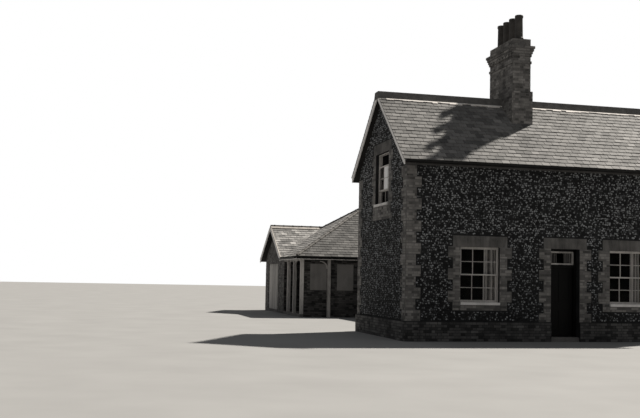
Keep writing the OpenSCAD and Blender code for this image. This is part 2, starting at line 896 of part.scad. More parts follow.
module low_ridges() {
    hip_climb = atan(low_slope / sqrt(2));
    hip_len = far_half * sqrt(2) / cos(hip_climb);
    far_hip_len = (hip_top_x - hip_x - bay_half) * sqrt(2) / cos(hip_climb);
    hip_top = [hip_top_x, far_mid_y, far_ridge_z];
    bay_top = [hip_x + bay_half, bay_mid_y, bay_ridge_z];
    color("#7d7a78") placed() difference() {
        union() {
            intersection() {
                union() {
                    roll(hip_top, 0, 0, house_l + low_out - hip_top_x);
                    roll(hip_top, 225, -hip_climb, hip_len + roll_r);
                    roll(hip_top, 135, -hip_climb, far_hip_len);
                    roll(bay_top, 180, 0, bay_half);
                }
                box([hip_x, far_y - low_out, 0], [house_l + low_out, far_end_y + low_out, far_ridge_z + roll_r]);
            }
            roll([link_mid_x, house_d, link_ridge_z], 90, 0, link_half + far_y - low_out - house_d);
        }
        low_mass();
    }
}

module low_bargeboards() {
    color(paint) placed() {
        barge_pair(hip_x - barge_t, bay_y - low_out, far_end_y + low_out, low_eave_z, low_slope);
        barge_pair(house_l + low_out, far_y - low_out, far_end_y + low_out, low_eave_z, low_slope);
    }
}

module low_gutters() {
    z = low_eave_z - low_drop / 3;
    near_y = far_y - low_out;
    link_y = house_d + 2 * brick_out;
    link_len = near_y - link_y - gutter_w - 10;
    color("#4a4744") placed() {
        translate([hip_x, near_y, z]) gutter(link_x - low_out - hip_x);
        translate([link_end_x + low_out, near_y, z]) gutter(house_l - link_end_x);
        translate([hip_x, near_y, z]) on_platform_gable() gutter(bay_y - far_y - barge_t);
        translate([link_x - low_out, link_y, z]) on_platform_gable() gutter(link_len);
        translate([link_end_x + low_out, link_y, z]) mirror([1, 0, 0]) on_platform_gable() gutter(link_len);
        translate([hip_x, far_end_y + low_out, z]) mirror([0, 1, 0]) gutter(house_l + low_out - hip_x);
    }
}

// Waiting shelter

// Curved bracket in the plane of the near wall, from a post at x = 0 up to a beam at z = 0
module bracket() {
    translate([0, bracket_t, 0]) rotate([90, 0, 0]) linear_extrude(bracket_t) intersection() {
        translate([bracket_r, -bracket_r]) difference() {
            circle(r = bracket_r + bracket_t / 4);
            circle(r = bracket_r - bracket_t * 3 / 4);
        }
        translate([0, -bracket_r]) square(bracket_r);
    }
}

// Posts under the beam, with curved brackets beside them, and the upright on the near wall
module shelter_posts() {
    starts = [0, post_2_y, post_3_y];
    mid = (post_w - bracket_t) / 2;
    color(paint) placed() {
        for (y = starts) box([far_x, far_y + y, floor_t], [far_x + post_w, far_y + y + post_w, beam_z]);
        for (y = starts) translate([far_x + mid, far_y + y + post_w, beam_z]) on_platform_gable() bracket();
        for (y = [post_2_y, post_3_y])
            translate([far_x + mid, far_y + y, beam_z]) mirror([0, 1, 0]) on_platform_gable() bracket();
        intersection() {
            box([far_x + upright_x, far_y - upright_out, 0], [far_x + upright_x + post_w, far_y, low_eave_z]);
            low_mass(low_drop);
        }
        translate([far_x + upright_x, far_y - upright_out, beam_z]) mirror([1, 0, 0]) bracket();
    }
}

// Wall plate over the open bays, its top along the rafters
module shelter_beam() {
    color(paint) placed() intersection() {
        box([far_x, far_y, beam_z], [far_x + post_w, bay_y, low_eave_z + low_out]);
        low_mass(low_drop);
    }
}

// Bare boards on the near wall, one to each side of the upright
module poster_boards() {
    left = far_x + upright_x - board_gap - board_w;
    right = far_x + upright_x + post_w + board_gap + 270;
    color("#77736d") placed() for (x = [left, right])
        box([x, far_y - board_t, board_z], [x + board_w, far_y, board_z + board_h]);
}

house_floor();
upper_floor();
front_wall_left();
front_wall_right();
front_wall_head();
platform_gable_wall();
road_gable_wall();
house_back_wall();
corner_quoins();
opening_surrounds();
house_roof();
house_ridge();
house_bargeboards();
house_gutters();
chimney_stack();
chimney_pots();
house_windows();
low_windows();
window_glass();
window_sills();
curtains();
front_door_frame();
front_door();
low_floor();
near_wall();
store_wall_near();
store_wall_far();
store_wall_head();
shelter_back_wall();
shelter_side_wall();
far_wall();
far_end_wall();
link_platform_wall();
link_road_wall();
far_roof();
link_roof();
low_ridges();
low_bargeboards();
low_gutters();
shelter_posts();
shelter_beam();
poster_boards();
store_door_frame();
store_door_near();
store_door_far();
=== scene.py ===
"""Looks of the railway station building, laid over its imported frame.

Lengths are metres. Places are worked out from the house's front corner at the platform, with x along the
house ridge, y along the platform and z up, and are carried into the frame when a mesh is made.
"""

import logging
import math
from dataclasses import dataclass, field, replace
from enum import Enum
from functools import partial
from typing import Callable

import bpy
import numpy as np
from mathutils import Matrix, Vector

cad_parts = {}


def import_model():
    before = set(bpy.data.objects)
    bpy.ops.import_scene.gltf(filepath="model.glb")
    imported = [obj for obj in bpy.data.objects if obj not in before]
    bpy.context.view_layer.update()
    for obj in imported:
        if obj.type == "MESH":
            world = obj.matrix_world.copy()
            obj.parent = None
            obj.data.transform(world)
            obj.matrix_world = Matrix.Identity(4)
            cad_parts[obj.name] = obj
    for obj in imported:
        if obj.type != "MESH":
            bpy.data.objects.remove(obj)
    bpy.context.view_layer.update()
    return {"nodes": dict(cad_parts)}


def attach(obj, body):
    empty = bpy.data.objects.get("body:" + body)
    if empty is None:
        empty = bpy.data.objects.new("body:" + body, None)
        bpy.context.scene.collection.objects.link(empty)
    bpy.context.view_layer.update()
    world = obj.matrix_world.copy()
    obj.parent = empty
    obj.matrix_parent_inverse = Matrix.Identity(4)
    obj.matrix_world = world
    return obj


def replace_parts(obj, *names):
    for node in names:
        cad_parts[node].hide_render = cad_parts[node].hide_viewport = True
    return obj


LOG = logging.getLogger("station")
CORNER = np.array([4.4, 2.32, 0.0])  # from the house's front corner to the frame's origin
STATION = "station_building"
BED = -0.004  # where the backs of bricks and slates lie, behind the surface they are on
COURSE = 0.075  # height of a course of bricks
Array = np.ndarray
Mesh = tuple[Array, Array]
Triple = tuple[float, float, float]
Limit = Callable[[Array], Array]
Socket = bpy.types.NodeSocket
Rng = np.random.Generator


def grey(level: float, warmth: float = 0.02) -> Triple:
    """Warm grey of a brightness as it shows on screen.

    Args:
        level: brightness on screen, 0 to 255.
        warmth: share by which red is raised and blue lowered.

    Returns:
        The colour in linear light.
    """
    shown = np.array([level * (1 + warmth), level, level * (1 - warmth)]) / 255
    linear = np.where(shown <= 0.04045, shown / 12.92, ((shown + 0.055) / 1.055) ** 2.4)
    return tuple(float(c) for c in linear)


def seeded(seed: int) -> Rng:
    """Dataclass field with a source of random numbers that starts from a seed."""
    return field(default_factory=lambda: np.random.default_rng(seed))


# Finishes


class Wiring:
    """Short hand for filling the node tree of a material or of the sky."""

    def __init__(self, owner: bpy.types.ID) -> None:
        """Empty the owner's tree.

        Args:
            owner: the material or the world.
        """
        owner.use_nodes = True
        self.owner = owner
        self.tree = owner.node_tree
        self.tree.nodes.clear()

    def add(self, kind: str, inputs: dict, **settings: object) -> bpy.types.Node:
        """Add a node.

        Args:
            kind: the node's type without the words Shader and Node.
            inputs: value or feeding socket of each input, by name or number.
            settings: the node's own settings.

        Returns:
            The new node.
        """
        node = self.tree.nodes.new("ShaderNode" + kind)
        for key, value in settings.items():
            setattr(node, key, value)
        for key, value in inputs.items():
            if isinstance(value, Socket):
                self.tree.links.new(value, node.inputs[key])
            else:
                node.inputs[key].default_value = value
        return node

    def sums(self, operation: str, *values: object) -> Socket:
        """Result of one step of arithmetic on sockets or numbers."""
        return self.add("Math", dict(enumerate(values)), operation=operation).outputs[0]

    def spanned(self, *values: object) -> Socket:
        """First value, carried from between the next two to between the last two."""
        return self.add("MapRange", dict(enumerate(values))).outputs[0]

    def noise(self, vector: Socket, scale: float, detail: float = 3.0) -> Socket:
        """Strength of cloudy noise with that many patches a metre."""
        return self.add("TexNoise", {"Vector": vector, "Scale": scale, "Detail": detail}).outputs["Fac"]

    def tone(self) -> Socket:
        """Tone of the small piece that a point belongs to."""
        return self.add("Attribute", {}, attribute_name="tone").outputs["Fac"]

    def ramp(self, level: Socket, dark: Triple, light: Triple, low: float = 0.3, high: float = 0.7) -> Socket:
        """Colour that follows a level.

        Args:
            level: the level that it follows.
            dark: colour up to the low level.
            light: colour from the high level on.
            low: the low level.
            high: the high level.

        Returns:
            The colour between dark and light.
        """
        node = self.add("ValToRGB", {"Fac": level})
        for element, position, colour in zip(node.color_ramp.elements, (low, high), (dark, light)):
            element.position = position
            element.color = (*colour, 1.0)
        return node.outputs["Color"]

    def bump(self, height: Socket, distance: float, strength: float) -> Socket:
        """Normal of a surface roughened by a height."""
        return self.add("Bump", {"Height": height, "Distance": distance, "Strength": strength}).outputs[0]

    def placed(self, stretch: Triple = (1.0, 1.0, 1.0)) -> Socket:
        """Place on the object, stretched along its axes."""
        spot = self.add("TexCoord", {}).outputs["Object"]
        return self.add("Mapping", {"Vector": spot, "Scale": stretch}).outputs[0]

    def finish(self, **inputs: object) -> bpy.types.ID:
        """Close the tree with a surface shader, whose inputs are given with _ for spaces."""
        shader = self.add("BsdfPrincipled", {key.replace("_", " "): value for key, value in inputs.items()})
        self.add("OutputMaterial", {"Surface": shader.outputs[0]})
        return self.owner


@dataclass(frozen=True)
class Look:
    """Surface that a material of its name shows."""

    name: str

    def made(self) -> bpy.types.Material:
        """The look as a new material."""
        raise NotImplementedError

    def material(self) -> bpy.types.Material:
        """The look as a material, made once."""
        return bpy.data.materials.get(self.name) or self.made()


@dataclass(frozen=True)
class Finish(Look):
    """Matt weathered surface: patches and grain between two greys, with streaks of dirt.

    Each grey is given as its brightness on screen and its warmth.
    """

    dark: tuple[float, float]
    light: tuple[float, float]
    patch: float = 1.3
    grain: float = 45.0
    stretch: Triple = (1.0, 1.0, 1.0)
    rough: float = 0.82
    relief: float = 0.002
    grime: float = 0.35
    toned: float = 0.0
    gloss: float = 0.2

    def made(self) -> bpy.types.Material:
        """Colour by patches, grain and, where toned, each small piece's own tone; then dirt and bump."""
        wiring = Wiring(bpy.data.materials.new(self.name))
        spot = wiring.placed(self.stretch)
        patches, grains = wiring.noise(spot, self.patch, 5.0), wiring.noise(spot, self.grain)
        level = wiring.sums("MULTIPLY_ADD", patches, 0.55, wiring.sums("MULTIPLY", grains, 0.45))
        if self.toned:
            own = wiring.sums("MULTIPLY", wiring.tone(), self.toned)
            level = wiring.sums("MULTIPLY_ADD", level, 1 - self.toned, own)
        dark = grey(*self.dark)
        clean = wiring.ramp(level, dark, grey(*self.light))
        streaks = wiring.noise(wiring.placed((2.6, 2.6, 0.35)), 1.0, 4.0)
        shares = {0: wiring.spanned(streaks, 0.45, 0.75, 0.0, self.grime), 6: clean,
                  7: (*(c * 0.35 for c in dark), 1.0)}
        colour = wiring.add("Mix", shares, data_type="RGBA").outputs[2]
        rough = wiring.spanned(grains, 0.2, 0.8, self.rough - 0.1, self.rough + 0.1)
        bump = wiring.bump(wiring.sums("MULTIPLY_ADD", patches, 0.4, grains), self.relief, 0.7)
        return wiring.finish(Base_Color=colour, Roughness=rough, Normal=bump, Specular_IOR_Level=self.gloss)


@dataclass(frozen=True)
class Glass(Look):
    """Dark window pane that reflects and lets a curtain show."""

    see: float = 0.8
    gloss: float = 0.16

    def made(self) -> bpy.types.Material:
        """Dark and glossy, with faint waves of old glass and dust."""
        wiring = Wiring(bpy.data.materials.new(self.name))
        spot = wiring.placed()
        dust = wiring.noise(spot, 9.0, 4.0)
        return wiring.finish(
            Base_Color=wiring.ramp(dust, grey(8), grey(20), 0.3, 0.75),
            Roughness=wiring.spanned(dust, 0.3, 0.8, 0.03, 0.14),
            Normal=wiring.bump(wiring.noise(spot, 3.5, 1.0), 0.004, 0.3),
            Alpha=1 - self.see, Specular_IOR_Level=self.gloss)


@dataclass(frozen=True)
class Cloth(Look):
    """Woven curtain cloth, with painted shade darkening the hollows of its folds."""

    dark: float = 112
    light: float = 250
    threads: float = 700.0

    def made(self) -> bpy.types.Material:
        """Crossing waves for the weave, the tone of each point for painted shade in the folds, and a light
        sheen.
        """
        wiring = Wiring(bpy.data.materials.new(self.name))
        spot = wiring.placed()
        waves = {"Vector": spot, "Scale": self.threads / 6.3, "Distortion": 0.4}
        across, down = (wiring.add("TexWave", waves, bands_direction=way).outputs["Fac"] for way in "XZ")
        weave = wiring.sums("MULTIPLY", across, down)
        clouds = wiring.sums("MULTIPLY", wiring.noise(spot, 4.0, 4.0), 0.3)
        level = wiring.sums("MULTIPLY_ADD", wiring.tone(), 0.7, clouds)
        level = wiring.sums("MULTIPLY_ADD", weave, 0.1, level)
        colour = wiring.ramp(level, grey(self.dark), grey(self.light), 0.15, 0.9)
        return wiring.finish(Base_Color=colour, Roughness=0.9, Normal=wiring.bump(weave, 0.0006, 0.5),
                             Sheen_Weight=0.2)


Brick = partial(Finish, grain=110.0, relief=0.0025)
Mortar = partial(Finish, patch=2.5, grain=150.0, relief=0.002)
Slated = partial(Finish, grain=30.0, rough=0.7, relief=0.0015, grime=0.25, gloss=0.12)
Tile = partial(Finish, patch=4.0, grain=70.0, rough=0.7)
Painted = partial(Finish, grain=40.0, relief=0.0006)

FLINT = Finish("flint_nodule", (26, -0.02), (150, -0.015), patch=9.0, grain=90.0, rough=0.6, relief=0.003,
               grime=0.15, toned=0.85, gloss=0.15)
LIME = Finish("flint_mortar", (28, -0.015), (58, -0.015), patch=2.2, grain=140.0, relief=0.004, gloss=0.05)
BRICK = Brick("weathered_brick", (66, 0.01), (142, 0.02), patch=3.0, grime=0.3, toned=0.34)
PLINTH_BRICK = Brick("damp_brick", (44, 0.0), (104, 0.01), patch=2.0, grime=0.5, toned=0.4)
LOW_BRICK = Brick("low_wall_brick", (30, 0.02), (90, 0.02), patch=2.0, grime=0.4, toned=0.4)
BAY_BRICK = Brick("bay_wall_brick", (58, 0.02), (122, 0.02), patch=2.0, grime=0.4, toned=0.35)
SOOTY = Brick("sooty_brick", (56, 0.02), (144, 0.02), patch=3.5, grime=0.4, toned=0.28)
JOINT = Mortar("brick_mortar", (78, 0.01), (116, 0.01))
LOW_JOINT = Mortar("low_wall_mortar", (34, 0.01), (66, 0.01))
BAY_JOINT = Mortar("bay_wall_mortar", (66, 0.01), (100, 0.01))
SLATE = Slated("house_slate", (72, 0.0), (138, 0.01), patch=1.2, grain=36.0, grime=0.2, toned=0.36)
LOW_SLATE = Slated("low_slate", (56, 0.0), (114, 0.01), patch=2.0, toned=0.3)
BAY_SLATE = Slated("bay_slate", (82, 0.0), (184, 0.01), patch=4.0, toned=0.35)
UNDERSLATE = Finish("slate_bed", (30, 0.03), (50, 0.03), patch=3.0, grain=60.0)
DARK_TILE = Tile("dark_ridge_tile", (80, 0.01), (122, 0.01), rough=0.9, gloss=0.02)
LOW_TILE = Tile("hip_tile", (52, 0.03), (104, 0.03))
PALE_TILE = Tile("bay_ridge_tile", (130, 0.03), (196, 0.03))
LIMEWASH = Finish("ridge_mortar", (206, 0.02), (246, 0.02), patch=6.0, grain=90.0)
POT_CLAY = Finish("pot_clay", (40, 0.03), (84, 0.04), patch=5.0, grain=90.0, rough=0.6)
PAINT = Painted("gable_paint", (218, 0.01), (246, 0.01), patch=2.0, grain=26.0, stretch=(1.0, 1.0, 0.4),
                rough=0.55, relief=0.0008, grime=0.25)
SASH_PAINT = Painted("sash_paint", (150, 0.02), (214, 0.02), patch=3.0, stretch=(1.0, 1.0, 0.3), rough=0.55)
WORN_PAINT = Painted("worn_paint", (124, 0.02), (216, 0.02), patch=2.5, stretch=(1.0, 1.0, 0.12), rough=0.65,
                     relief=0.0015, grime=0.45)
FASCIA = Painted("fascia_paint", (48, 0.02), (84, 0.02), patch=3.0, relief=0.0008)
DARK_PAINT = Painted("dark_door_paint", (5, 0.02), (15, 0.02), patch=2.0, stretch=(1.0, 1.0, 0.12), rough=0.5,
                     grime=0.3, gloss=0.12)
IRON = Finish("cast_iron", (10, 0.02), (26, 0.02), patch=4.0, grain=80.0, rough=0.5, relief=0.0008)
STONE = Finish("pale_stone", (196, 0.01), (234, 0.01), patch=3.0, grain=90.0, rough=0.85)
PAVED = Finish("paving_stone", (84, 0.02), (128, 0.02), patch=1.5, grain=70.0)
PLANK = Finish("floor_boards", (58, 0.04), (96, 0.05), patch=1.5, grain=50.0, stretch=(0.08, 1.0, 1.0))
BOARD = Finish("bare_board", (108, 0.02), (142, 0.02), patch=1.6, grain=60.0, rough=0.6, relief=0.0006)
# Near-white glass: a painted reflection of the bright sky on a pane.
PAINTED_REFLECTION = Finish("glass_with_painted_reflection", (244, 0.0), (254, 0.0), patch=5.0, grain=60.0, rough=0.4, relief=0.0004,
                  grime=0.1)
GLASS = Glass("window_pane")
CLOTH = Cloth("curtain_cotton")
# The curtain cotton made darker for the fanlight curtains: painted shade.
SHADED_CLOTH = Cloth("curtain_cotton_painted_shade", 40, 112)


# Meshes


def linked(name: str, data: bpy.types.ID) -> bpy.types.Object:
    """New object of a mesh, lamp or camera, put into the scene."""
    obj = bpy.data.objects.new(name, data)
    bpy.context.scene.collection.objects.link(obj)
    return obj


def piece(name: str, mesh: Mesh, look: Look, tone: Array | None = None,
          body: str = STATION) -> bpy.types.Object:
    """Make a piece of one look and let it ride a body.

    Args:
        name: the piece's name.
        mesh: places of its points, and point numbers of each face.
        look: its finish.
        tone: tone of each point from 0 to 1, where the finish reads one.
        body: the body that carries it.

    Returns:
        The new object.
    """
    points, faces = mesh
    data = bpy.data.meshes.new(name)
    data.from_pydata((points.reshape(-1, 3) - CORNER).tolist(), [], faces.tolist())
    if tone is not None:
        layer = data.attributes.new("tone", "FLOAT", "POINT")
        layer.data.foreach_set("value", tone.astype(np.float32).ravel())
    data.materials.append(look.material())
    obj = linked(name, data)
    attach(obj, body)
    LOG.info("%s: %d faces", name, len(faces))
    return obj


def solids(name: str, parts: list[Mesh], look: Look, slot: str, draw: Callable[..., Array],
           *limits: float) -> None:
    """Make a piece of six-sided solids, each in one random tone.

    Args:
        name: the piece's name.
        parts: meshes of the solids.
        look: their finish.
        slot: the record's material slot; not used.
        draw: gives random tones by its two settings and a number of solids.
        limits: the draw's settings, such as its lowest and highest tone.
    """
    mesh = gather(parts)
    piece(name, mesh, look, np.repeat(draw(*limits, len(mesh[0]) // 8), 8))


def prisms(front: Array, back: Array) -> Mesh:
    """Closed six-sided solids.

    Args:
        front: four front corners of each solid, counter-clockwise from outside, as (n, 4, 3).
        back: the corners behind them.

    Returns:
        Points and four-cornered faces: front, back, and a side from each front edge to its back edge.
    """
    points = np.concatenate([front, back], axis=1).reshape(-1, 3)
    one = np.array([[0, 1, 2, 3], [7, 6, 5, 4], [0, 4, 5, 1], [1, 5, 6, 2], [2, 6, 7, 3], [3, 7, 4, 0]])
    return points, repeated(one, len(front), 8)


def quads(*corners: Array) -> Array:
    """Four measures or numbers of each solid or face side by side, as (n, 4)."""
    return np.stack(corners, axis=-1).reshape(-1, 4)


def repeated(skin: Array, count: int, points: int) -> Array:
    """Faces of a number of solids that have as many points and the same skin."""
    return (np.arange(count)[:, None, None] * points + skin).reshape(-1, skin.shape[1])


def gather(parts: list[Mesh]) -> Mesh:
    """Several meshes as one, each mesh's point numbers moved past those before it."""
    starts = np.cumsum([0] + [len(points) for points, _ in parts[:-1]])
    points = np.concatenate([points for points, _ in parts])
    return points, np.concatenate([faces + start for (_, faces), start in zip(parts, starts)])


def hoops(centres: Array, axis: Array, side: Array, up: Array, sizes: Triple, start: float,
          steps: int) -> Mesh:
    """Flat straps bent half round an axis: a rectangle of strap width by thickness carried round an arc.

    Args:
        centres: middle of each hoop, as (n, 3).
        axis: direction through the hoops.
        side: direction of angle 0.
        up: direction of a right angle.
        sizes: inner radius, outer radius and width along the axis.
        start: first angle of the arc.
        steps: number of stations round the arc.

    Returns:
        Points and faces. A station lies at centre + radius * (side * cos t + up * sin t) +- axis * width / 2.
    """
    inner, outer, width = sizes
    angles = np.linspace(start, start + math.pi, steps)[:, None]
    ray = np.cos(angles) * side + np.sin(angles) * up
    half, outer, inner = axis * width / 2, ray * outer, ray * inner
    section = np.stack([outer - half, outer + half, inner + half, inner - half], axis=1)
    points = (centres[:, None, None, :] + section[None]).reshape(-1, 3)
    here, corner = np.arange(steps - 1)[:, None] * 4, np.arange(4)
    after = (corner + 1) % 4
    skin = quads(here + corner, here + after, here + 4 + after, here + 4 + corner)
    end = (steps - 1) * 4
    skin = np.concatenate([skin, [[3, 2, 1, 0], [end, end + 1, end + 2, end + 3]]])
    return points, repeated(skin, len(centres), steps * 4)


def spread(start: float, end: float, width: float, count: int) -> list[float]:
    """Starts of pieces of one width, evenly spread between two places."""
    return [start + (end - start) * (i + 0.5) / count - width / 2 for i in range(count)]


def steady(value: float) -> Limit:
    """Limit that is the same everywhere."""
    return lambda run: np.full_like(run, value)


def leaning(start: float, lean: float) -> Limit:
    """Limit that moves on by a share of the distance."""
    return lambda run: start + lean * run


@dataclass(frozen=True)
class Patch:
    """Upright rectangle on a wall face: its limits along the face and its limits of height."""

    a0: float
    a1: float
    z0: float
    z1: float

    def rim(self, width: float) -> list["Patch"]:
        """Two stiles and two rails inside the rectangle's edge.

        Args:
            width: width of each.

        Returns:
            The stiles, then the rails.
        """
        a0, a1, z0, z1 = self.a0, self.a1, self.z0, self.z1
        left, right = a0 + width, a1 - width
        return [Patch(a0, left, z0, z1), Patch(right, a1, z0, z1), Patch(left, right, z0, z0 + width),
                Patch(left, right, z1 - width, z1)]

    def around(self, openings: list["Patch"]) -> list["Patch"]:
        """Parts of the rectangle beside, under and over its openings.

        Args:
            openings: rectangles that stand side by side, in order.

        Returns:
            The parts that aren't empty.
        """
        parts: list[Patch] = []
        start = self.a0
        for gap in openings:
            parts += [Patch(start, gap.a0, self.z0, self.z1), Patch(gap.a0, gap.a1, self.z0, gap.z0),
                      Patch(gap.a0, gap.a1, gap.z1, self.z1)]
            start = gap.a1
        parts.append(replace(self, a0=start))
        return [part for part in parts if part.a1 > part.a0 and part.z1 > part.z0]


def sized(a: float, z: float, width: float, height: float) -> Patch:
    """Rectangle by its lower corner and its size."""
    return Patch(a, a + width, z, z + height)


class Plane:
    """Plane that blocks lie on, upright or leaning."""

    turned: bool

    def place(self, along: Array, up: Array, out: Array | float) -> Array:
        """Point at a distance along the plane, up it and out from it."""
        raise NotImplementedError

    @staticmethod
    def joined(axis: int, along: Array, across: Array, up: Array) -> Array:
        """Points from their places along a level axis, across it and up."""
        points = np.empty(np.broadcast(along, across, up).shape + (3,))
        points[..., axis], points[..., 1 - axis], points[..., 2] = along, across, up
        return points

    def blocks(self, along: Array, up: Array, out: Array | float, back: float) -> Mesh:
        """Closed blocks on the plane.

        Args:
            along: four corners of each block along the plane, foot first, as (n, 4).
            up: how far up the plane they lie.
            out: how far the block's front stands out, as one measure or for each block or corner.
            back: where its back lies.

        Returns:
            Points and faces of the blocks.
        """
        order = slice(None, None, -1 if self.turned else 1)
        return prisms(self.place(along, up, out)[:, order], self.place(along, up, back)[:, order])


class Facing(Enum):
    """Side that a wall face looks to: the axis it runs along, and its way across that axis."""

    FRONT = (0, -1)
    BACK = (0, 1)
    PLATFORM = (1, -1)
    ROAD = (1, 1)


FRONT, BACK, PLATFORM, ROAD = Facing


@dataclass(frozen=True)
class Face(Plane):
    """Upright face of a wall: the side it looks to and where it stands."""

    facing: Facing
    at: float

    @property
    def turned(self) -> bool:
        """Whether corners in the usual order run clockwise from outside."""
        return self.facing in (BACK, PLATFORM)

    def place(self, along: Array, up: Array, out: Array | float) -> Array:
        """Point at a distance along the face, at a height, and out from the face."""
        axis, way = self.facing.value
        return self.joined(axis, along, self.at + way * np.asarray(out), up)

    def bars(self, patches: list[Patch], out: float, back: float) -> Mesh:
        """One block for each patch."""
        along = np.array([[p.a0, p.a1, p.a1, p.a0] for p in patches])
        up = np.array([[p.z0, p.z0, p.z1, p.z1] for p in patches])
        return self.blocks(along, up, out, back)


@dataclass(frozen=True)
class Slope(Plane):
    """Plane of a roof: its eave, the way it climbs, and its sides by level distance from the eave."""

    axis: int
    eave: float
    way: int
    height: float
    rise: float
    left: Limit
    right: Limit
    start: float
    end: float

    @property
    def turned(self) -> bool:
        """Whether corners in the usual order run clockwise from above."""
        return (self.axis == 0) != (self.way > 0)

    def place(self, along: Array, up: Array, out: Array | float) -> Array:
        """Point on or over the slope.

        Args:
            along: place along the eave.
            up: level distance from the eave.
            out: how far it is lifted square to the slope.

        Returns:
            The points.
        """
        lift = np.asarray(out)
        tilt = math.hypot(1, self.rise)
        across = self.eave + self.way * (up - lift * self.rise / tilt)
        return self.joined(self.axis, along, across, self.height + up * self.rise + lift / tilt)


def fascia(foot: float, runs: list[tuple[Face, float, float]], height: float = 0.05) -> Mesh:
    """Narrow boards under the eaves, each by its face and its ends."""
    out, back = 0.012, -0.02
    return gather([face.bars([Patch(a0, a1, foot, foot + height)], out, back) for face, a0, a1 in runs])


@dataclass(frozen=True)
class Bond:
    """Flemish bond: stretchers and headers by turns, each header over the middle of a stretcher."""

    stretcher: float = 0.225
    header: float = 0.1125
    joint: float = 0.011
    relief: float = 0.004
    uneven: float = 0.0018
    least: float = 0.012

    def lay(self, face: Face, patch: Patch, rng: Rng, top: Limit = steady(math.inf)) -> Mesh:
        """Bricks that fill a patch, cut at its edges.

        Args:
            face: the wall face.
            patch: the area to fill.
            rng: source of the bricks' small differences.
            top: height that the bricks stay under, by place along the face.

        Returns:
            Points and faces of the bricks.
        """
        period = self.stretcher + self.header
        rows = np.arange(math.floor(patch.z0 / COURSE), math.ceil(patch.z1 / COURSE))
        columns = np.arange(math.floor(patch.a0 / period) - 1, math.ceil(patch.a1 / period) + 1)
        starts = columns[None] * period + (rows % 2)[:, None] * period / 2
        gap = self.joint / 2
        left = np.maximum(np.concatenate([starts, starts + self.stretcher], axis=1), patch.a0) + gap
        right = np.minimum(np.concatenate([starts + self.stretcher, starts + period], axis=1), patch.a1) - gap
        low = np.broadcast_to((np.maximum(rows * COURSE, patch.z0) + gap)[:, None], left.shape)
        high = np.broadcast_to((np.minimum((rows + 1) * COURSE, patch.z1) - gap)[:, None], left.shape)
        along = quads(left, right, right, left)
        up = np.minimum(quads(low, low, high, high), top(along))
        tall = np.maximum(up[:, 2] - up[:, 1], up[:, 3] - up[:, 0])
        kept = (along[:, 1] - along[:, 0] > self.least) & (tall > self.least)
        along, up = along[kept], up[kept]
        along = along + rng.normal(0, self.uneven * 0.5, (len(along), 1))
        out = self.relief + rng.uniform(-self.uneven, self.uneven, (len(along), 1))
        return face.blocks(along, up, out, BED)


def soldiers(face: Face, patch: Patch, splay: float, rng: Rng) -> Mesh:
    """Upright bricks of a flat head, fanned a little from the middle.

    Args:
        face: the wall face.
        patch: the head's rectangle.
        splay: share by which the top is wider than the foot.
        rng: source of small differences.

    Returns:
        Points and faces of the bricks.
    """
    middle = (patch.a0 + patch.a1) / 2
    half = (patch.a1 - patch.a0) / 2
    gap, out, uneven = 0.005, 0.004, 0.0015
    edges = np.linspace(-half, half, round(2 * half / COURSE) + 1)
    left, right = edges[:-1] + gap, edges[1:] - gap
    scale = 1 - splay
    along = middle + quads(left * scale, right * scale, right, left)
    up = np.broadcast_to([patch.z0 + gap] * 2 + [patch.z1 - gap] * 2, along.shape)
    return face.blocks(along, up, out + rng.uniform(-uneven, uneven, (len(left), 1)), BED)


# House


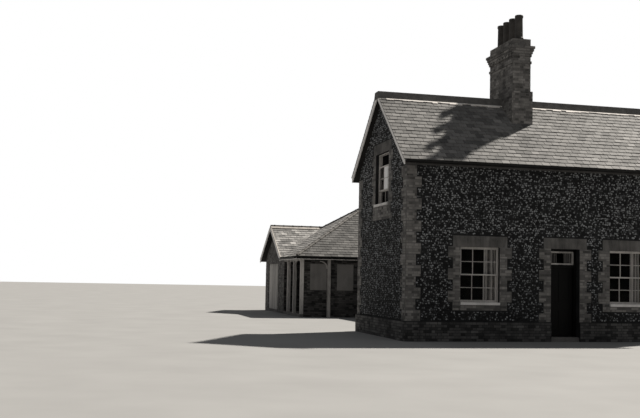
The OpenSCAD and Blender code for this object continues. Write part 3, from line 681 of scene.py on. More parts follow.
@dataclass(frozen=True)
class Flints:
    """Knapped flints on a loose grid.

    The first four fields are lengths: the grid's pitch, how far flints stand out, the least that any point
    of them does, and the height that the grid reaches. Scatter, clear and radius are shares of the pitch, and
    the others vary a flint's radius, its height and its tilt.
    """

    pitch: float = 0.06
    out: float = 0.011
    least: float = 0.002
    tall: float = 7.2
    scatter: float = 0.27
    clear: float = 0.42
    radius: tuple[float, float] = (0.38, 0.58)
    ragged: tuple[float, float] = (0.78, 1.12)
    longer: tuple[float, float] = (0.85, 1.25)
    raised: tuple[float, float] = (0.45, 1.0)
    tilt: float = 0.05
    brow: float = 0.68

    def spots(self, foot: float, end: float, top: Limit, kept_clear: list[Patch], rng: Rng) -> Array:
        """Places of the flints along the wall and up it, as (n, 2): every other row is half a pitch on.

        Args:
            foot: height that the flints stay over.
            end: length of the wall.
            top: height that the flints stay under.
            kept_clear: areas without flints.
            rng: source of their scatter.

        Returns:
            The places.
        """
        grid = np.meshgrid(np.arange(int(end / self.pitch)), np.arange(int(self.tall / self.pitch)))
        spots = np.stack(grid, axis=-1).reshape(-1, 2).astype(float)
        spots[:, 0] += (spots[:, 1] % 2) * 0.5
        spots += rng.uniform(-self.scatter, self.scatter, spots.shape)
        spots = spots * self.pitch + [self.pitch / 2, 0.0]
        along, up = spots.T
        clear = self.pitch * self.clear
        kept = (up > foot + clear) & (along < end - clear) & (up < top(along) - clear * 1.4)
        for patch in kept_clear:
            kept &= ~((along > patch.a0 - clear) & (along < patch.a1 + clear)
                      & (up > patch.z0 - clear) & (up < patch.z1 + clear))
        return spots[kept]

    def lay(self, face: Face, spots: Array, rng: Rng) -> tuple[Mesh, Array]:
        """Flints at their places on a wall.

        Each flint is a low dome: a ragged ring on the wall, a smaller ring further out and a middle point.
        The rings' radii are the flint's own radius times a random share for each of six directions.

        Args:
            face: the wall face.
            spots: place of each flint along the face and up it.
            rng: source of their differences.

        Returns:
            Points and three-cornered faces, and the tone of each point.
        """
        along, up = spots[:, :1], spots[:, 1:]
        count, sides = len(spots), 6
        whole = 2 * sides + 1
        here = np.arange(sides)
        angles = here * math.pi / 3 + rng.uniform(0, 1, (count, 1))
        radius = self.pitch * rng.uniform(*self.radius, (count, 1))
        radius = radius * rng.uniform(*self.ragged, (count, sides))
        longer = rng.uniform(*self.longer, (count, 1))
        across, height = np.cos(angles) * radius * longer, np.sin(angles) * radius / longer
        out = self.out * rng.uniform(*self.raised, (count, 1))
        tilt = rng.normal(0, self.tilt, (count, 2))
        lift = np.clip(out + across * 0.7 * tilt[:, :1] + height * 0.7 * tilt[:, 1:], self.least, self.out)
        points = np.concatenate([
            face.place(along + across, up + height, -self.least),
            face.place(along + across * self.brow, up + height * self.brow, lift),
            face.place(along, up, np.clip(out * 1.12, self.least, self.out * 1.1)),
        ], axis=1)
        after = (here + 1) % sides
        skin = np.concatenate([
            np.stack([here, after, after + sides], axis=1),
            np.stack([here, after + sides, here + sides], axis=1),
            np.stack([here + sides, after + sides, np.full(sides, whole - 1)], axis=1),
            np.array([[0, i + 1, i] for i in range(1, sides - 1)]),
        ])
        own = rng.beta(1.6, 2.1, count) + (rng.random(count) < 0.04) * 0.8
        tone = np.repeat((own * np.clip(0.7 + 0.1 * up[:, 0], 0.7, 1.0))[:, None], whole, axis=1)
        # The ring where each flint meets the wall is darker: painted shade.
        tone[:, :sides] *= 0.6
        skin = skin[:, ::-1] if face.turned else skin
        return (points.reshape(-1, 3), repeated(skin, count, whole)), tone


@dataclass
class FlintHouse:
    """Walls of the house: flint between toothed brick dressings on a brick plinth."""

    length: float = 8.8
    depth: float = 4.64
    eave: float = 4.734
    eave_out: float = 0.27
    rise: float = 0.87
    plinth: float = 0.54
    plinth_out: float = 0.05
    brick_out: float = 0.012
    block: float = 0.3
    block_long: float = 0.36
    block_short: float = 0.22
    quoin_long: float = 0.42
    quoin_short: float = 0.28
    quoins: int = 14
    head: float = 0.3
    splay: float = 0.1
    near_window: Patch = sized(1.56, 1.06, 1.15, 1.51)
    far_window: Patch = sized(6.07, 1.06, 1.15, 1.51)
    gable_window: Patch = sized(1.59, 3.85, 1.28, 1.49)
    door: Patch = sized(4.25, 0.0, 0.88, 2.58)
    link: Patch = Patch(4.0, 8.0, 0.0, 3.3)
    sill: float = 0.07
    panel: float = 0.4
    stone: Flints = Flints()
    bond: Bond = Bond()
    rng: Rng = seeded(11)

    def gable_top(self, along: Array) -> Array:
        """Height of the rafters over a place along the gable."""
        return self.eave + (np.minimum(along, self.depth - along) + self.eave_out) * self.rise

    def teeth(self, gap: Patch, foot: float) -> list[Patch]:
        """Blocks beside an opening, long and short by turns from the top down.

        Args:
            gap: the opening.
            foot: height where the blocks end.

        Returns:
            The blocks at both sides.
        """
        made: list[Patch] = []
        for i in range(math.ceil((gap.z1 - foot) / self.block - 1e-6)):
            reach = self.block_short if i % 2 else self.block_long
            heights = max(foot, gap.z1 - (i + 1) * self.block), gap.z1 - i * self.block
            made += [Patch(gap.a0 - reach, gap.a0, *heights), Patch(gap.a1, gap.a1 + reach, *heights)]
        return made

    def surround(self, gap: Patch, panel: float) -> list[Patch]:
        """Blocks beside a window, and the panel of that height under its sill."""
        foot = gap.z0 - self.sill - panel
        return self.teeth(gap, foot) + [Patch(gap.a0, gap.a1, foot, foot + panel)]

    def corner_blocks(self, end: float, reach: tuple[float, float]) -> list[Patch]:
        """Corner blocks on one face.

        Args:
            end: place of the far corner along the face.
            reach: lengths of the even and the odd blocks.

        Returns:
            The blocks at both corners.
        """
        made: list[Patch] = []
        for i in range(self.quoins):
            z = self.plinth + i * self.block
            made += [Patch(-self.brick_out, reach[i % 2], z, z + self.block),
                     Patch(end - reach[i % 2], end + self.brick_out, z, z + self.block)]
        return made

    def windows(self) -> list[tuple[Face, Patch]]:
        """Two windows at the front, one at the back and one in each gable."""
        front, back = Face(FRONT, 0.0), Face(BACK, self.depth)
        gables = Face(PLATFORM, 0.0), Face(ROAD, self.length)
        return [(front, self.near_window), (front, self.far_window), (back, self.near_window),
                *((gable, self.gable_window) for gable in gables)]

    def faces(self) -> list[tuple[str, Face, list[Patch], list[Patch], list[Patch]]]:
        """Each outer face with its dressings, its openings under heads, and where another wall joins it."""
        near, far, gable, door = self.near_window, self.far_window, self.gable_window, self.door
        corners = self.corner_blocks(self.length, (self.quoin_long, self.quoin_short))
        back = self.surround(near, self.block / 2) + corners
        front = (self.surround(near, self.block / 2) + self.surround(far, self.block / 2) + corners
                 + self.teeth(door, self.plinth))
        side = self.surround(gable, self.panel)
        side += self.corner_blocks(self.depth, (self.quoin_short, self.quoin_long))
        return [
            ("front", Face(FRONT, 0.0), front, [near, far, door], []),
            ("platform", Face(PLATFORM, 0.0), side, [gable], []),
            ("road", Face(ROAD, self.length), side, [gable], []),
            ("back", Face(BACK, self.depth), back, [near], [self.link]),
        ]

    def build(self) -> None:
        """Make the flints, the dressings, the heads and the plinth."""
        rng = self.rng
        dressed: list[Mesh] = []
        crowns: list[Mesh] = []
        for name, face, dressings, openings, joined in self.faces():
            gable = face.facing in (PLATFORM, ROAD)
            end = self.depth if gable else self.length
            top = self.gable_top if gable else steady(self.eave + self.eave_out * self.rise)
            heads = [Patch(gap.a0 - self.block_short, gap.a1 + self.block_short, gap.z1, gap.z1 + self.head)
                     for gap in openings]
            gaps = [replace(gap, z0=gap.z0 - self.sill) for gap in openings] + joined
            spots = self.stone.spots(self.plinth, end, top, dressings + heads + gaps, rng)
            mesh, tone = self.stone.lay(face, spots, rng)
            piece(f"flints_{name}", mesh, FLINT, tone)
            raised = replace(face, at=face.at + face.facing.value[1] * self.brick_out)
            dressed += [self.bond.lay(raised, patch, rng) for patch in dressings]
            crowns += [soldiers(raised, patch, self.splay, rng) for patch in heads]
        out = self.plinth_out
        edge = self.length + out
        runs = [
            (Face(FRONT, -out), -out, self.door.a0), (Face(FRONT, -out), self.door.a1, edge),
            (Face(PLATFORM, -out), -out, self.depth + out), (Face(ROAD, edge), -out, self.depth + out),
            (Face(BACK, self.depth + out), -out, self.link.a0),
            (Face(BACK, self.depth + out), self.link.a1, edge),
        ]
        plinth = [self.bond.lay(face, Patch(a0, a1, 0.0, self.plinth), rng) for face, a0, a1 in runs]
        solids("dressing_bricks", dressed, BRICK, "brick", rng.uniform, 0.0, 1.0)
        solids("plinth_bricks", plinth, PLINTH_BRICK, "brick", rng.uniform, 0.0, 1.0)
        solids("head_bricks", crowns, BRICK, "brick", rng.uniform, 0.1, 0.3)


@dataclass
class Chimney:
    """Bricks of the chimney: wide base, shaft, string course and stepped cornice with a row of dentils."""

    x: float = 3.715
    width: float = 0.565
    y: float = 1.38
    depth: float = 1.65
    foot: float = 5.3
    base_top: float = 7.263
    base_out: float = 0.05
    top: float = 8.84
    step: float = 0.025
    steps: int = 4
    string: float = 8.1
    cornice: float = 8.32
    dentil: float = 0.1
    dentil_pitch: float = 0.21
    dentil_out: float = 0.022
    bond: Bond = Bond()
    rng: Rng = seeded(23)

    def sides(self, out: float) -> list[tuple[Face, float, float]]:
        """The chimney's four faces.

        Args:
            out: how far they stand out.

        Returns:
            Each face with its ends.
        """
        x0, x1 = self.x - out, self.x + self.width + out
        y0, y1 = self.y - out, self.y + self.depth + out
        return [(Face(FRONT, y0), x0, x1), (Face(BACK, y1), x0, x1),
                (Face(PLATFORM, x0), y0, y1), (Face(ROAD, x1), y0, y1)]

    def ring(self, out: float, z0: float, z1: float) -> list[Mesh]:
        """Bricks round the chimney between two heights, standing out by one distance."""
        return [self.bond.lay(face, Patch(a0, a1, z0, z1), self.rng) for face, a0, a1 in self.sides(out)]

    def dentils(self, out: float, z: float) -> list[Mesh]:
        """Header ends with gaps between them round the chimney, in one course.

        Args:
            out: how far the course stands out.
            z: height of its foot.

        Returns:
            A mesh for each side.
        """
        made: list[Mesh] = []
        for face, a0, a1 in self.sides(out):
            starts = spread(a0, a1, self.dentil, int((a1 - a0) / self.dentil_pitch))
            ends = [sized(a, z, self.dentil, COURSE) for a in starts]
            made.append(face.bars(ends, self.dentil_out, BED))
        return made

    def build(self) -> None:
        """Make the chimney's bricks."""
        parts = self.ring(self.base_out, self.foot, self.base_top)
        parts += self.ring(0.0, self.base_top, self.string)
        parts += self.ring(self.step, self.string, self.string + COURSE)
        parts += self.ring(0.0, self.string + COURSE, self.cornice)
        for i in range(self.steps):
            z = self.cornice + i * COURSE
            parts += self.ring((i + 1) * self.step, z, z + COURSE)
        parts += self.dentils(self.step, self.cornice)
        parts += self.ring(0.0, self.cornice + self.steps * COURSE, self.top)
        solids("chimney_bricks", parts, SOOTY, "brick", self.rng.uniform, 0.0, 1.0)


# Roofs


@dataclass
class Slates:
    """Courses of slates, each with its tail on the course below and its joints over the middles there.

    The last fields are how far courses shift, tails jog, the narrowest slate kept, and how tails vary.
    """

    gauge: float = 0.18
    width: float = 0.24
    lap: float = 0.05
    tail: float = 0.019
    head: float = 0.004
    joint: float = 0.01
    shift: float = 0.004
    jog: float = 0.0025
    least: float = 0.006
    thicker: tuple[float, float] = (-0.002, 0.005)
    uneven: float = 0.0012
    rng: Rng = seeded(5)

    def cover(self, slope: Slope) -> Mesh:
        """Slates that cover a slope, cut along its sides.

        Args:
            slope: the plane to cover.

        Returns:
            Points and faces. Course i has its tails at i gauges up the slope, each a little off the line.
        """
        rng = self.rng
        cosine = 1 / math.hypot(1, slope.rise)
        gauge = self.gauge * cosine
        rows = np.arange(math.ceil(slope.start / gauge - 1e-6), math.ceil(slope.end / gauge - 1e-6))
        runs = np.linspace(slope.start, slope.end, 41)
        low = math.floor(slope.left(runs).min() / self.width) - 1
        high = math.ceil(slope.right(runs).max() / self.width) + 1
        edges = np.arange(low, high) * self.width
        start = edges[None] + (rows % 2)[:, None] * self.width / 2 + rng.normal(0, self.shift, (len(rows), 1))
        jog = rng.normal(0, self.jog, start.shape)
        foot = np.clip(rows[:, None] * gauge + jog, 0, slope.end)
        foot[rows == 0] = np.abs(jog[rows == 0])
        crest = np.minimum(foot + gauge + self.lap * cosine, slope.end)
        run = quads(foot, foot, crest, crest)
        begin, finish = start + self.joint / 2, start + self.width - self.joint / 2
        along = np.clip(quads(begin, finish, finish, begin), slope.left(run), slope.right(run))
        kept = np.maximum(along[:, 1] - along[:, 0], along[:, 2] - along[:, 3]) > self.least
        along, run = along[kept], run[kept]
        count = len(along)
        tail = self.tail + rng.uniform(*self.thicker, (count, 1)) + rng.normal(0, self.uneven, (count, 2))
        lift = np.concatenate([tail, np.full((count, 2), self.head)], axis=1)
        return slope.blocks(along, run, lift, BED)


@dataclass
class HouseRoof:
    """Slates, ridge capping with its mortar, and fascias of the house."""

    length: float = 8.8
    depth: float = 4.64
    eave: float = 4.88
    eave_out: float = 0.27
    tail_out: float = 0.03
    verge: float = 0.192
    rise: float = 0.87
    cap: float = 0.015
    cap_foot: float = 0.235
    cap_top: float = 0.165
    cap_length: float = 0.45
    joint: float = 0.003
    bedding: float = 0.272
    lump: tuple[float, float] = (0.06, 0.3)
    lump_height: tuple[float, float] = (0.02, 0.075)
    lump_out: float = 0.032
    fascia_drop: float = 0.165
    fascia_out: float = 0.14
    slates: Slates = field(default_factory=Slates)

    def slopes(self) -> list[Slope]:
        """Front and back slope."""
        rest = (self.eave - self.tail_out * self.rise, self.rise, steady(-self.verge),
                steady(self.length + self.verge), 0.0, self.depth / 2 + self.eave_out + 0.02)
        return [Slope(0, -self.eave_out - self.tail_out, 1, *rest),
                Slope(0, self.depth + self.eave_out + self.tail_out, -1, *rest)]

    def ridge_tiles(self) -> Mesh:
        """Capping in lengths with a narrow joint between them, each with a flat top and steep sides."""
        end = self.length + self.verge
        edges = np.append(np.arange(-self.verge, end - 0.1, self.cap_length), end)
        middle = self.depth / 2
        ridge = self.eave + (middle + self.eave_out) * self.rise
        across = middle + np.array([-self.cap_foot, self.cap_foot, self.cap_top, -self.cap_top])
        up = np.array([ridge - self.cap_foot * self.rise] * 2 + [ridge + self.cap] * 2)
        ends = (edges[1:] - self.joint, edges[:-1] + self.joint)
        return prisms(*(Plane.joined(0, x[:, None], across, up) for x in ends))

    def ridge_bedding(self) -> list[Mesh]:
        """Lumps of pale mortar in a line under the lower edge of the capping, on both slopes."""
        rng = self.slates.rng
        ends = np.cumsum(rng.uniform(*self.lump, 80)) - self.verge
        ends = ends[ends < self.length + self.verge - 0.02]
        along = quads(ends[:-1], ends[1:], ends[1:], ends[:-1])
        parts = []
        for slope in self.slopes():
            top = slope.end + 0.01 - self.bedding
            low = top - rng.uniform(*self.lump_height, len(ends) - 1)
            high = np.full_like(low, top)
            run = quads(low, low - rng.uniform(-0.008, 0.008, len(low)), high, high)
            parts.append(slope.blocks(along, run, self.lump_out, 0.0))
        return parts

    def build(self) -> None:
        """Make the slates, a few of them pale, the ridge capping, its mortar and the fascias."""
        rng = self.slates.rng
        solids("house_slates", [self.slates.cover(slope) for slope in self.slopes()], SLATE, "slate",
               lambda count: rng.beta(2.4, 2.6, count) + (rng.random(count) < 0.012) * 0.6)
        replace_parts(piece("ridge_capping", self.ridge_tiles(), DARK_TILE), "house_ridge")
        solids("ridge_bedding", self.ridge_bedding(), LIMEWASH, "ridge_tile", rng.uniform, 0.0, 1.0)
        ends = -self.fascia_out, self.length + self.fascia_out
        runs = [(Face(FRONT, -self.eave_out), *ends), (Face(BACK, self.depth + self.eave_out), *ends)]
        piece("fascia_boards", fascia(self.eave - self.fascia_drop, runs), FASCIA)


@dataclass
class LowRoof:
    """Slates and tile joints of the low range: hip, bay gable, near and far slopes, and the link."""

    near: float = 14.65
    far: float = 23.35
    platform: float = 0.15
    road: float = 9.05
    eave: float = 2.56
    rise: float = 0.6
    half: float = 4.35
    bay: float = 18.15
    bay_half: float = 2.6
    link: tuple[float, float] = (3.75, 8.25)
    link_half: float = 2.25
    house: float = 4.64
    roll: float = 0.075
    collar: float = 0.01
    tile: float = 0.45
    wing: float = 0.2
    wing_out: float = 0.042
    strip: float = 0.025
    strip_out: float = 0.034
    fascia_drop: float = 0.128
    slates: Slates = field(default_factory=lambda: Slates(gauge=0.215, width=0.28, tail=0.022,
                                                          rng=np.random.default_rng(8)))

    def slope(self, axis: int, eave: float, way: int, left: Limit, right: Limit, start: float,
              end: float) -> Slope:
        """A slope with the low roof's height and pitch."""
        return Slope(axis, eave, way, self.eave, self.rise, left, right, start, end)

    def bay_slopes(self) -> list[Slope]:
        """Both planes of the bay, out to the hip."""
        rest = steady(self.platform - 0.02), leaning(self.platform, 1), 0.0, self.bay_half
        return [self.slope(0, self.bay, 1, *rest), self.slope(0, self.far, -1, *rest)]

    def hip_slope(self) -> Slope:
        """Plane of the hipped end, as far as the bay's valley and the hips."""
        past_bay: Limit = lambda run: np.minimum(self.bay + run, self.far - run)
        return self.slope(1, self.platform, 1, leaning(self.near, 1), past_bay, 0.0, self.half)

    def slopes(self) -> list[Slope]:
        """The other planes of the low roof, those cut by a valley in a lower and an upper part."""
        left, right = self.link
        middle = (left + right) / 2
        gauge = self.slates.gauge / math.hypot(1, self.rise)
        top = math.ceil(self.link_half / gauge) * gauge
        hip, road = leaning(self.platform, 1), steady(self.road)
        near = 0, self.near, 1
        walls = steady(self.house), leaning(self.near, 1), 0.0, self.link_half
        return [
            self.slope(*near, hip, lambda run: np.minimum(left + run, middle), 0.0, top),
            self.slope(*near, lambda run: np.maximum(right - run, middle), road, 0.0, top),
            self.slope(*near, hip, road, top, self.half),
            self.slope(0, self.far, -1, hip, road, 0.0, self.half),
            self.slope(1, left, 1, *walls),
            self.slope(1, right, -1, *walls),
        ]

    def lines(self) -> Array:
        """Start and end of each ridge and hip, as (n, 2, 3)."""
        top = self.eave + self.half * self.rise
        hip_top = (self.platform + self.half, (self.near + self.far) / 2, top)
        bay_ridge = (self.platform, self.far - self.bay_half, self.eave + self.bay_half * self.rise)
        inner = (self.platform + self.bay_half, *bay_ridge[1:])
        link_z = self.eave + self.link_half * self.rise
        middle = sum(self.link) / 2
        return np.array([
            (hip_top, (self.road, hip_top[1], top)),
            (hip_top, (self.platform, self.near, self.eave)),
            (hip_top, inner),
            (bay_ridge, inner),
            ((middle, self.house, link_z), (middle, self.near + self.link_half, link_z)),
        ])

    def tile_joints(self) -> Mesh:
        """Raised collars round the cappings at every tile's end."""
        parts = []
        sizes = self.roll - self.collar, self.roll + self.collar, 0.04
        for start, end in self.lines():
            span = float(np.linalg.norm(end - start))
            axis = (end - start) / span
            side = np.cross(axis, [0.0, 0.0, 1.0])
            side /= np.linalg.norm(side)
            centres = start + np.arange(0.2, span - 0.1, self.tile)[:, None] * axis
            parts.append(hoops(centres, axis, side, np.cross(side, axis), sizes, 0.0, 14))
        return gather(parts)

    def wings(self) -> Mesh:
        """Flat wings of the bay's ridge tiles, and the pale mortar strips on its verges."""
        parts = []
        for slope in self.bay_slopes():
            starts = np.arange(self.platform, self.platform + self.bay_half, self.tile)
            low, high = slope.end - self.wing, slope.end - 0.01
            run = np.tile([low, low, high, high], (len(starts), 1))
            ends = np.minimum(starts + self.tile - 0.006, slope.right(run[:, 0]))
            parts.append(slope.blocks(quads(starts, ends, ends, starts), run, self.wing_out, 0.0))
            verge = self.platform + self.strip * np.array([[-1, 1, 1, -1]])
            parts.append(slope.blocks(verge, np.array([[0.0, 0.0, low, low]]), self.strip_out, 0.0))
        return gather(parts)

    def build(self) -> None:
        """Make the slates, the tile joints, the wings and the fascias."""
        bay = [*self.bay_slopes(), self.hip_slope()]
        for name, slopes, look in (("low_slates", self.slopes(), LOW_SLATE), ("bay_slates", bay, BAY_SLATE)):
            solids(name, [self.slates.cover(slope) for slope in slopes], look, "slate",
                   self.slates.rng.beta, 2.4, 2.6)
        piece("hip_joints", self.tile_joints(), LOW_TILE)
        piece("bay_ridge_wings", self.wings(), PALE_TILE)
        runs = [(Face(FRONT, self.near), self.platform, self.link[0]),
                (Face(PLATFORM, self.platform), self.near, self.bay),
                (Face(BACK, self.far), self.platform, self.road)]
        piece("low_fascia_boards", fascia(self.eave - self.fascia_drop, runs), PAINT)


# Low range


@dataclass
class LowWalls:
    """Bricks of the low range and the shelter."""

    near: float = 14.9
    far: float = 23.1
    platform: float = 0.4
    road: float = 8.8
    wall: float = 0.34
    eave: float = 2.432
    out: float = 0.25
    rise: float = 0.6
    tall: float = 6.0
    house: float = 4.64
    link: tuple[float, float] = (4.0, 8.0)
    bay: float = 18.4
    shelter: float = 2.9
    post: float = 0.14
    floor: float = 0.12
    window: tuple[float, float] = (1.0, 1.15)
    window_z: float = 1.0
    sill: float = 0.07
    store: Patch = Patch(19.9, 22.3, 0.0, 2.3)
    bond: Bond = Bond()
    rng: Rng = seeded(31)

    def under(self, start: float, end: float) -> Limit:
        """Height of the rafters of a gabled roof over walls that stand between two places."""
        return lambda a: self.eave + (np.minimum(a - start, end - a) + self.out) * self.rise

    def windows(self) -> dict[Face, list[Patch]]:
        """Windows of the link's two walls, of the road end and of the far wall."""
        rows = [(Face(PLATFORM, self.link[0]), self.house, self.near, 3),
                (Face(ROAD, self.link[1]), self.house, self.near, 3),
                (Face(ROAD, self.road), self.near, self.far, 3),
                (Face(BACK, self.far), self.shelter, self.road, 2)]
        width, height = self.window
        return {face: [sized(a, self.window_z, width, height) for a in spread(start, end, width, count)]
                for face, start, end, count in rows}

    def build(self) -> None:
        """Make the bricks of every low wall that can be seen."""
        flat = steady(self.eave + self.out * self.rise)
        inner, post = self.near + self.wall, self.platform + self.post
        deep = self.shelter - self.platform
        side: Limit = lambda a: self.eave + np.minimum(deep, a - self.near) * self.rise
        low = [
            (Face(FRONT, self.near), post, self.link[0], 0.0, flat),
            (Face(FRONT, self.near), self.link[1], self.road, 0.0, flat),
            (Face(PLATFORM, self.shelter), inner, self.bay, self.floor, side),
            (Face(FRONT, self.bay), self.platform, self.shelter, self.floor, flat),
            (Face(BACK, inner), post, self.shelter, self.floor, flat),
            (Face(PLATFORM, self.link[0]), self.house, self.near, 0.0, flat),
            (Face(ROAD, self.link[1]), self.house, self.near, 0.0, flat),
            (Face(ROAD, self.road), self.near, self.far, 0.0, self.under(self.near, self.far)),
            (Face(BACK, self.far), self.platform, self.road, 0.0, flat),
        ]
        gable = Face(PLATFORM, self.platform)
        bay = [(gable, self.bay, self.far, 0.0, self.under(self.bay, self.far))]
        gaps = {face: [replace(gap, z0=gap.z0 - self.sill) for gap in row]
                for face, row in self.windows().items()}
        gaps[gable] = [self.store]
        for name, walls, look in (("low_wall_bricks", low, LOW_BRICK), ("bay_wall_bricks", bay, BAY_BRICK)):
            parts = []
            for face, a0, a1, foot, top in walls:
                areas = Patch(a0, a1, foot, self.tall).around(gaps.get(face, []))
                parts += [self.bond.lay(face, area, self.rng, top) for area in areas]
            solids(name, parts, look, "brick", self.rng.uniform, 0.0, 1.0)


@dataclass
class StoreDoors:
    """Upright boards on the outside of the two store leaves."""

    face: Face = Face(PLATFORM, 0.44)
    near: float = 19.968
    far: float = 22.232
    width: float = 1.128
    low: float = 0.128
    high: float = 2.232
    boards: int = 8
    gap: float = 0.008
    proud: float = 0.003

    def build(self) -> None:
        """Make the boards of each leaf, which ride on it."""
        pitch, half = self.width / self.boards, self.gap / 2
        for name, start in (("store_door_near", self.near), ("store_door_far", self.far - self.width)):
            boards = [Patch(start + i * pitch + half, start + (i + 1) * pitch - half, self.low + half,
                            self.high - half) for i in range(self.boards)]
            piece(f"{name}_boards", self.face.bars(boards, self.proud, -0.002), WORN_PAINT,
                  body=name)


# Windows


@dataclass(frozen=True)
class Window:
    """Sash window in an opening of a wall.

    Its box frame, rails and glazing bars have widths, and its sashes have panes across and panes up. The
    upper sash may stand open, let down from the top.
    """

    face: Face
    opening: Patch
    frame: float
    rail: float
    bar: float
    panes: tuple[int, int]
    dropped: float = 0.0
    reveal: float = 0.09
    depth: float = 0.11
    play: float = 0.01
    thick: float = 0.026
    pane: float = 0.004

    def sash(self, lower: int) -> tuple[Patch, float]:
        """Place of one sash.

        Args:
            lower: 0 for the upper sash, 1 for the lower.

        Returns:
            Its rectangle, and how far behind the wall its front lies.
        """
        opening, height = self.opening, self.opening.z1 - self.opening.z0
        half = (height + self.rail) / 2 - self.frame
        low = opening.z0 + (self.frame if lower else (height - self.rail) / 2)
        low -= 0.0 if lower else self.dropped
        front = self.reveal + self.play / 2 + lower * (self.depth - self.play) / 2
        return Patch(opening.a0 + self.frame, opening.a1 - self.frame, low, low + half), front

    def bars(self) -> list[Mesh]:
        """Upright and level glazing bars of both sashes."""
        made = []
        for lower in (0, 1):
            edge, front = self.sash(lower)
            left, right = edge.a0 + self.rail, edge.a1 - self.rail
            low, high = edge.z0 + self.rail, edge.z1 - self.rail
            middle = front + (self.depth - self.play) / 4
            half = self.bar / 2
            spots = [left + (right - left) * i / self.panes[0] for i in range(1, self.panes[0])]
            levels = [low + (high - low) * i / self.panes[1] for i in range(1, self.panes[1])]
            patches = [Patch(a - half, a + half, low, high) for a in spots]
            patches += [Patch(left, right, z - half, z + half) for z in levels]
            made.append(self.face.bars(patches, -(middle - self.thick / 2), -(middle + self.thick / 2)))
        return made

    def glass(self, lower: int, start: float = 0.0, end: float = 1.0) -> Mesh:
        """Glass in one sash.

        Args:
            lower: 0 for the upper sash, 1 for the lower.
            start: where the sheet starts, as a share of the sash's width.
            end: where it ends.

        Returns:
            The sheet.
        """
        edge, front = self.sash(lower)
        inset = self.rail - 0.006
        width = edge.a1 - edge.a0 - 2 * inset
        first = edge.a0 + inset
        sheet = Patch(first + width * start, first + width * end, edge.z0 + inset, edge.z1 - inset)
        middle = front + (self.depth - self.play) / 4
        return self.face.bars([sheet], -(middle - self.pane / 2), -(middle + self.pane / 2))

    def frames(self) -> list[Mesh]:
        """Box frame and both sashes."""
        made = [self.face.bars(self.opening.rim(self.frame), -self.reveal, -(self.reveal + self.depth))]
        for lower in (0, 1):
            edge, front = self.sash(lower)
            back = front + (self.depth - self.play) / 2
            made.append(self.face.bars(edge.rim(self.rail), -front, -back))
        return made


@dataclass
class Sashes:
    """Slender sash windows of the house, and the glazing bars and panes of all windows, with a painted
    reflection on part of the gable window's upper sash.
    """

    house: tuple[float, float, float] = (0.026, 0.036, 0.018)
    low: tuple[float, float, float] = (0.06, 0.045, 0.018)
    dropped: float = 0.33
    painted_reflection_share: float = 0.66

    def build(self, house: FlintHouse, low: LowWalls) -> None:
        """Make the house's sashes, every window's bars and every pane.

        Args:
            house: the house, which knows its windows.
            low: the low range, which knows its own.
        """
        bars, panes, frames, pale = [], [], [], []
        for face, opening in house.windows():
            window = Window(face, opening, *self.house, (3, 2))
            if face.facing is PLATFORM:
                window = replace(window, dropped=self.dropped)
                # The let-down upper sash gets near-white glass over most of its width: a painted reflection.
                panes += [window.glass(1), window.glass(0, self.painted_reflection_share)]
                pale.append(window.glass(0, 0.0, self.painted_reflection_share))
            else:
                panes += [window.glass(0), window.glass(1)]
            bars += window.bars()
            frames += window.frames()
        for face, openings in low.windows().items():
            for opening in openings:
                window = Window(face, opening, *self.low, (2, 2))
                bars += window.bars()
                panes += [window.glass(0), window.glass(1)]
        piece("glazing_bars", gather(bars), SASH_PAINT)
        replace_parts(piece("house_sashes", gather(frames), SASH_PAINT), "house_windows")
        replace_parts(piece("panes", gather(panes), GLASS), "window_glass")
        piece("panes_with_painted_reflection", gather(pale), PAINTED_REFLECTION)


@dataclass(frozen=True)
class Hanging:
    """Place and size of one gathered cloth behind a window, and the piece that it hangs in."""

    name: str
    face: Face
    start: float
    width: float
    foot: float
    height: float
    depth: float
    folds: int
    phase: float
    node: str
    look: Cloth = CLOTH


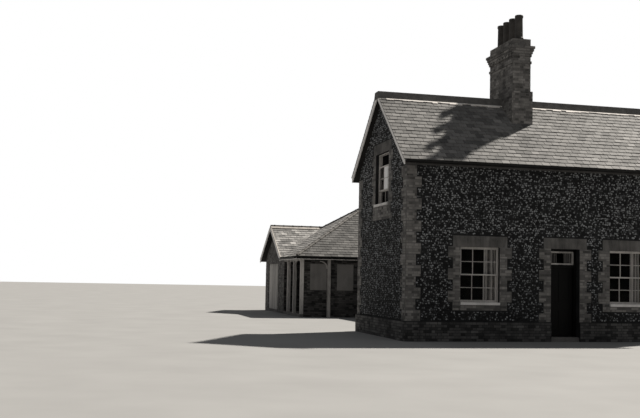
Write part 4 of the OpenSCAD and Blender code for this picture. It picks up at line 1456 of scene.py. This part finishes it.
@dataclass
class Curtains:
    """Gathered cloths inside the house's windows."""

    swing: float = 0.03
    thickness: float = 0.0012

    def cloths(self) -> list[Hanging]:
        """The two front curtains, the pair in the fanlight in a darker copy of the cotton as painted shade,
        and the short one in the upper window.
        """
        front, gable = Face(FRONT, 0.0), Face(PLATFORM, 0.0)
        tall = 1.072, 1.495, 0.26, 3
        fan = 2.15, 0.36, 0.335, 3
        return [
            Hanging("curtain_1", front, 2.365, 0.335, *tall, 0.0, "house_sashes"),
            Hanging("curtain_2", front, 6.875, 0.335, *tall, 1.3, "house_sashes"),
            Hanging("fanlight_curtain_1", front, 4.38, 0.24, *fan, 0.7, "fanlight_sash", SHADED_CLOTH),
            Hanging("fanlight_curtain_2", front, 4.82, 0.23, *fan, 2.1, "fanlight_sash", SHADED_CLOTH),
            Hanging("short_curtain", gable, 1.69, 1.08, 4.25, 0.72, 0.24, 14, 0.4, "house_sashes"),
        ]

    def hang(self, cloth: Hanging) -> bpy.types.Object:
        """One cloth.

        Its depth is its middle plus a wave of a whole number of folds across the width, some wider than
        others. It sways a little on the way up and is shallower at the top, where it is gathered.

        Args:
            cloth: where the cloth hangs.

        Returns:
            The curtain.
        """
        across, rise = np.meshgrid(np.linspace(0, 1, cloth.folds * 16 + 1), np.linspace(0, 1, 25))
        swing = self.swing * (1 - 0.45 * rise ** 3)
        angle = 2 * math.pi * cloth.folds * across + cloth.phase + 0.5 * np.sin(2.2 * rise + 5 * across)
        angle += 1.3 * np.sin(2 * math.pi * across + 1.7 * cloth.phase + 0.4)
        points = cloth.face.place(cloth.start + cloth.width * across, cloth.foot + cloth.height * rise,
                                  -cloth.depth - swing * np.sin(angle))
        number = np.arange(across.size).reshape(across.shape)
        faces = quads(number[:-1, :-1], number[:-1, 1:], number[1:, 1:], number[1:, :-1])
        # The tone is lowest in the hollows of the folds: painted shade.
        obj = piece(cloth.name, (points, faces), cloth.look, 0.5 - 0.5 * np.sin(angle))
        obj.modifiers.new("cloth", "SOLIDIFY").thickness = self.thickness
        obj.data.polygons.foreach_set("use_smooth", np.ones(len(faces), bool))
        return obj

    def build(self) -> None:
        """Hang the cloths; those at the front windows stand for the plain ones."""
        for cloth in self.cloths():
            obj = self.hang(cloth)
            if cloth.name in ("curtain_1", "curtain_2"):
                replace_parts(obj, "curtains")


@dataclass
class Fanlight:
    """Pale sash in the opening over the front door."""

    face: Face = Face(FRONT, 0.0)
    edge: Patch = Patch(4.312, 5.068, 2.142, 2.518)
    member: float = 0.045

    def build(self) -> None:
        """Make the sash from two stiles and two rails."""
        mesh = self.face.bars(self.edge.rim(self.member), -0.232, -0.28)
        piece("fanlight_sash", mesh, SASH_PAINT)


@dataclass
class Gutters:
    """Brackets that hold the gutters, each a half hoop under it."""

    radius: float = 0.055
    strap: float = 0.006
    width: float = 0.03
    spacing: float = 0.9
    high: float = 4.88 - 0.1464 / 3
    low: float = 2.56 - 0.128 / 3

    def build(self) -> None:
        """Make the brackets of the long gutters, each gutter by its start, its way and its length."""
        r, high, low = self.radius, self.high, self.low
        runs = [((-0.15, -0.27 - r, high), 0, 9.1), ((-0.15, 4.91 + r, high), 0, 9.1),
                ((0.15, 14.65 - r, low), 0, 3.6), ((0.15 - r, 14.65, low), 1, 3.47),
                ((0.15, 23.35 + r, low), 0, 8.9), ((3.75 - r, 4.7, low), 1, 9.8),
                ((8.25 + r, 4.7, low), 1, 9.8)]
        sizes = r - 0.001, r + self.strap, self.width
        parts = []
        for start, axis, length in runs:
            along, side, up = np.eye(3)[[axis, 1 - axis, 2]]
            centres = np.array(start) + np.arange(0.3, length - 0.1, self.spacing)[:, None] * along
            parts.append(hoops(centres, along, side, up, sizes, math.pi, 10))
        piece("gutter_brackets", gather(parts), IRON)


# Setting


@dataclass
class Setting:
    """Camera, light and floor."""

    place: Triple = (-12.534, -26.1885, 1.6167)
    yaw: float = 0.2363
    pitch: float = 0.0588
    roll: float = 0.0189
    lens: float = 52.67
    shift: float = 0.0232
    sun: Triple = (-0.58, -0.32, -0.75)
    sun_strength: float = 7.4
    sky_strength: float = 0.22
    floor_half: float = 160.0

    def camera(self) -> None:
        """Camera at the photograph's viewing angle."""
        data = bpy.data.cameras.new("view")
        data.lens = self.lens
        data.sensor_width = 36.0
        data.shift_y = self.shift
        data.clip_end = 500.0
        obj = linked("view", data)
        turn = Matrix.Rotation(-self.yaw, 4, "Z") @ Matrix.Rotation(math.pi / 2 + self.pitch, 4, "X")
        obj.matrix_world = Matrix.Translation(self.place) @ turn @ Matrix.Rotation(self.roll, 4, "Z")
        bpy.context.scene.camera = obj

    def light(self) -> None:
        """One soft lamp from high on the road side, behind the house, and an even sky that shows white."""
        lamp = bpy.data.lights.new("key", "SUN")
        lamp.energy = self.sun_strength
        lamp.angle = 0.03
        lamp.color = (1.0, 0.94, 0.85)
        linked("key", lamp).rotation_euler = Vector(self.sun).to_track_quat("-Z", "Y").to_euler()
        wiring = Wiring(bpy.data.worlds.new("sky"))
        path = wiring.add("LightPath", {}).outputs
        plain = wiring.add("Background", {"Color": (0.98, 0.99, 1.0, 1.0), "Strength": self.sky_strength})
        white = wiring.add("Background", {"Color": (1.0, 1.0, 1.0, 1.0), "Strength": 1.0})
        seen = wiring.sums("MAXIMUM", path["Is Camera Ray"], path["Is Transmission Ray"])
        mixed = wiring.add("MixShader", {0: seen, 1: plain.outputs[0], 2: white.outputs[0]})
        wiring.add("OutputWorld", {0: mixed.outputs[0]})
        bpy.context.scene.world = wiring.owner

    def floor(self) -> None:
        """Plain pale floor."""
        mesh = bpy.data.meshes.new("ground")
        corners = [(-1, -1, 0), (1, -1, 0), (1, 1, 0), (-1, 1, 0)]
        mesh.from_pydata((np.array(corners) * self.floor_half - [0, 0, 0.002]).tolist(), [], [(0, 1, 2, 3)])
        wiring = Wiring(bpy.data.materials.new("pale_ground"))
        colour = wiring.ramp(wiring.noise(wiring.placed(), 0.6), grey(134, 0.0), grey(141, 0.0))
        mesh.materials.append(wiring.finish(Base_Color=colour, Roughness=0.9))
        linked("ground", mesh)

    def build(self) -> None:
        """Set up the view."""
        self.camera()
        self.light()
        self.floor()
        bpy.context.scene.view_settings.view_transform = "Standard"


# What each carried node is finished with
NODE_LOOKS: dict[str, Look] = {node: look for look, nodes in (
    (LIME, "front_wall_left front_wall_right front_wall_head platform_gable_wall road_gable_wall "
           "house_back_wall"),
    (JOINT, "corner_quoins opening_surrounds chimney_stack"),
    (LOW_JOINT, "near_wall shelter_back_wall shelter_side_wall far_wall far_end_wall link_platform_wall "
                "link_road_wall"),
    (BAY_JOINT, "store_wall_near store_wall_far store_wall_head"),
    (UNDERSLATE, "house_roof far_roof link_roof"),
    (PAINT, "house_bargeboards low_bargeboards"),
    (SASH_PAINT, "house_windows low_windows"),
    (WORN_PAINT, "shelter_posts shelter_beam store_door_frame store_door_near store_door_far"),
    (DARK_PAINT, "front_door front_door_frame"),
    (IRON, "house_gutters low_gutters"),
    (DARK_TILE, "house_ridge"),
    (LOW_TILE, "low_ridges"),
    (POT_CLAY, "chimney_pots"),
    (GLASS, "window_glass"),
    (STONE, "window_sills"),
    (CLOTH, "curtains"),
    (PAVED, "house_floor low_floor"),
    (PLANK, "upper_floor"),
    (BOARD, "poster_boards"),
) for node in nodes.split()}


def main() -> None:
    """Load the frame, lay every finish and piece over it, and set the view."""
    logging.basicConfig(level=logging.INFO, format="%(name)s %(message)s")
    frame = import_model()
    for name, node in frame["nodes"].items():
        for slot in node.material_slots:
            slot.material = NODE_LOOKS[name].material()
    house, low = FlintHouse(), LowWalls()
    house.build()
    for part in (Chimney(), HouseRoof(), LowRoof(), low, StoreDoors()):
        part.build()
    Sashes().build(house, low)
    for part in (Fanlight(), Curtains(), Gutters(), Setting()):
        part.build()


if __name__ == "__main__":
    main()
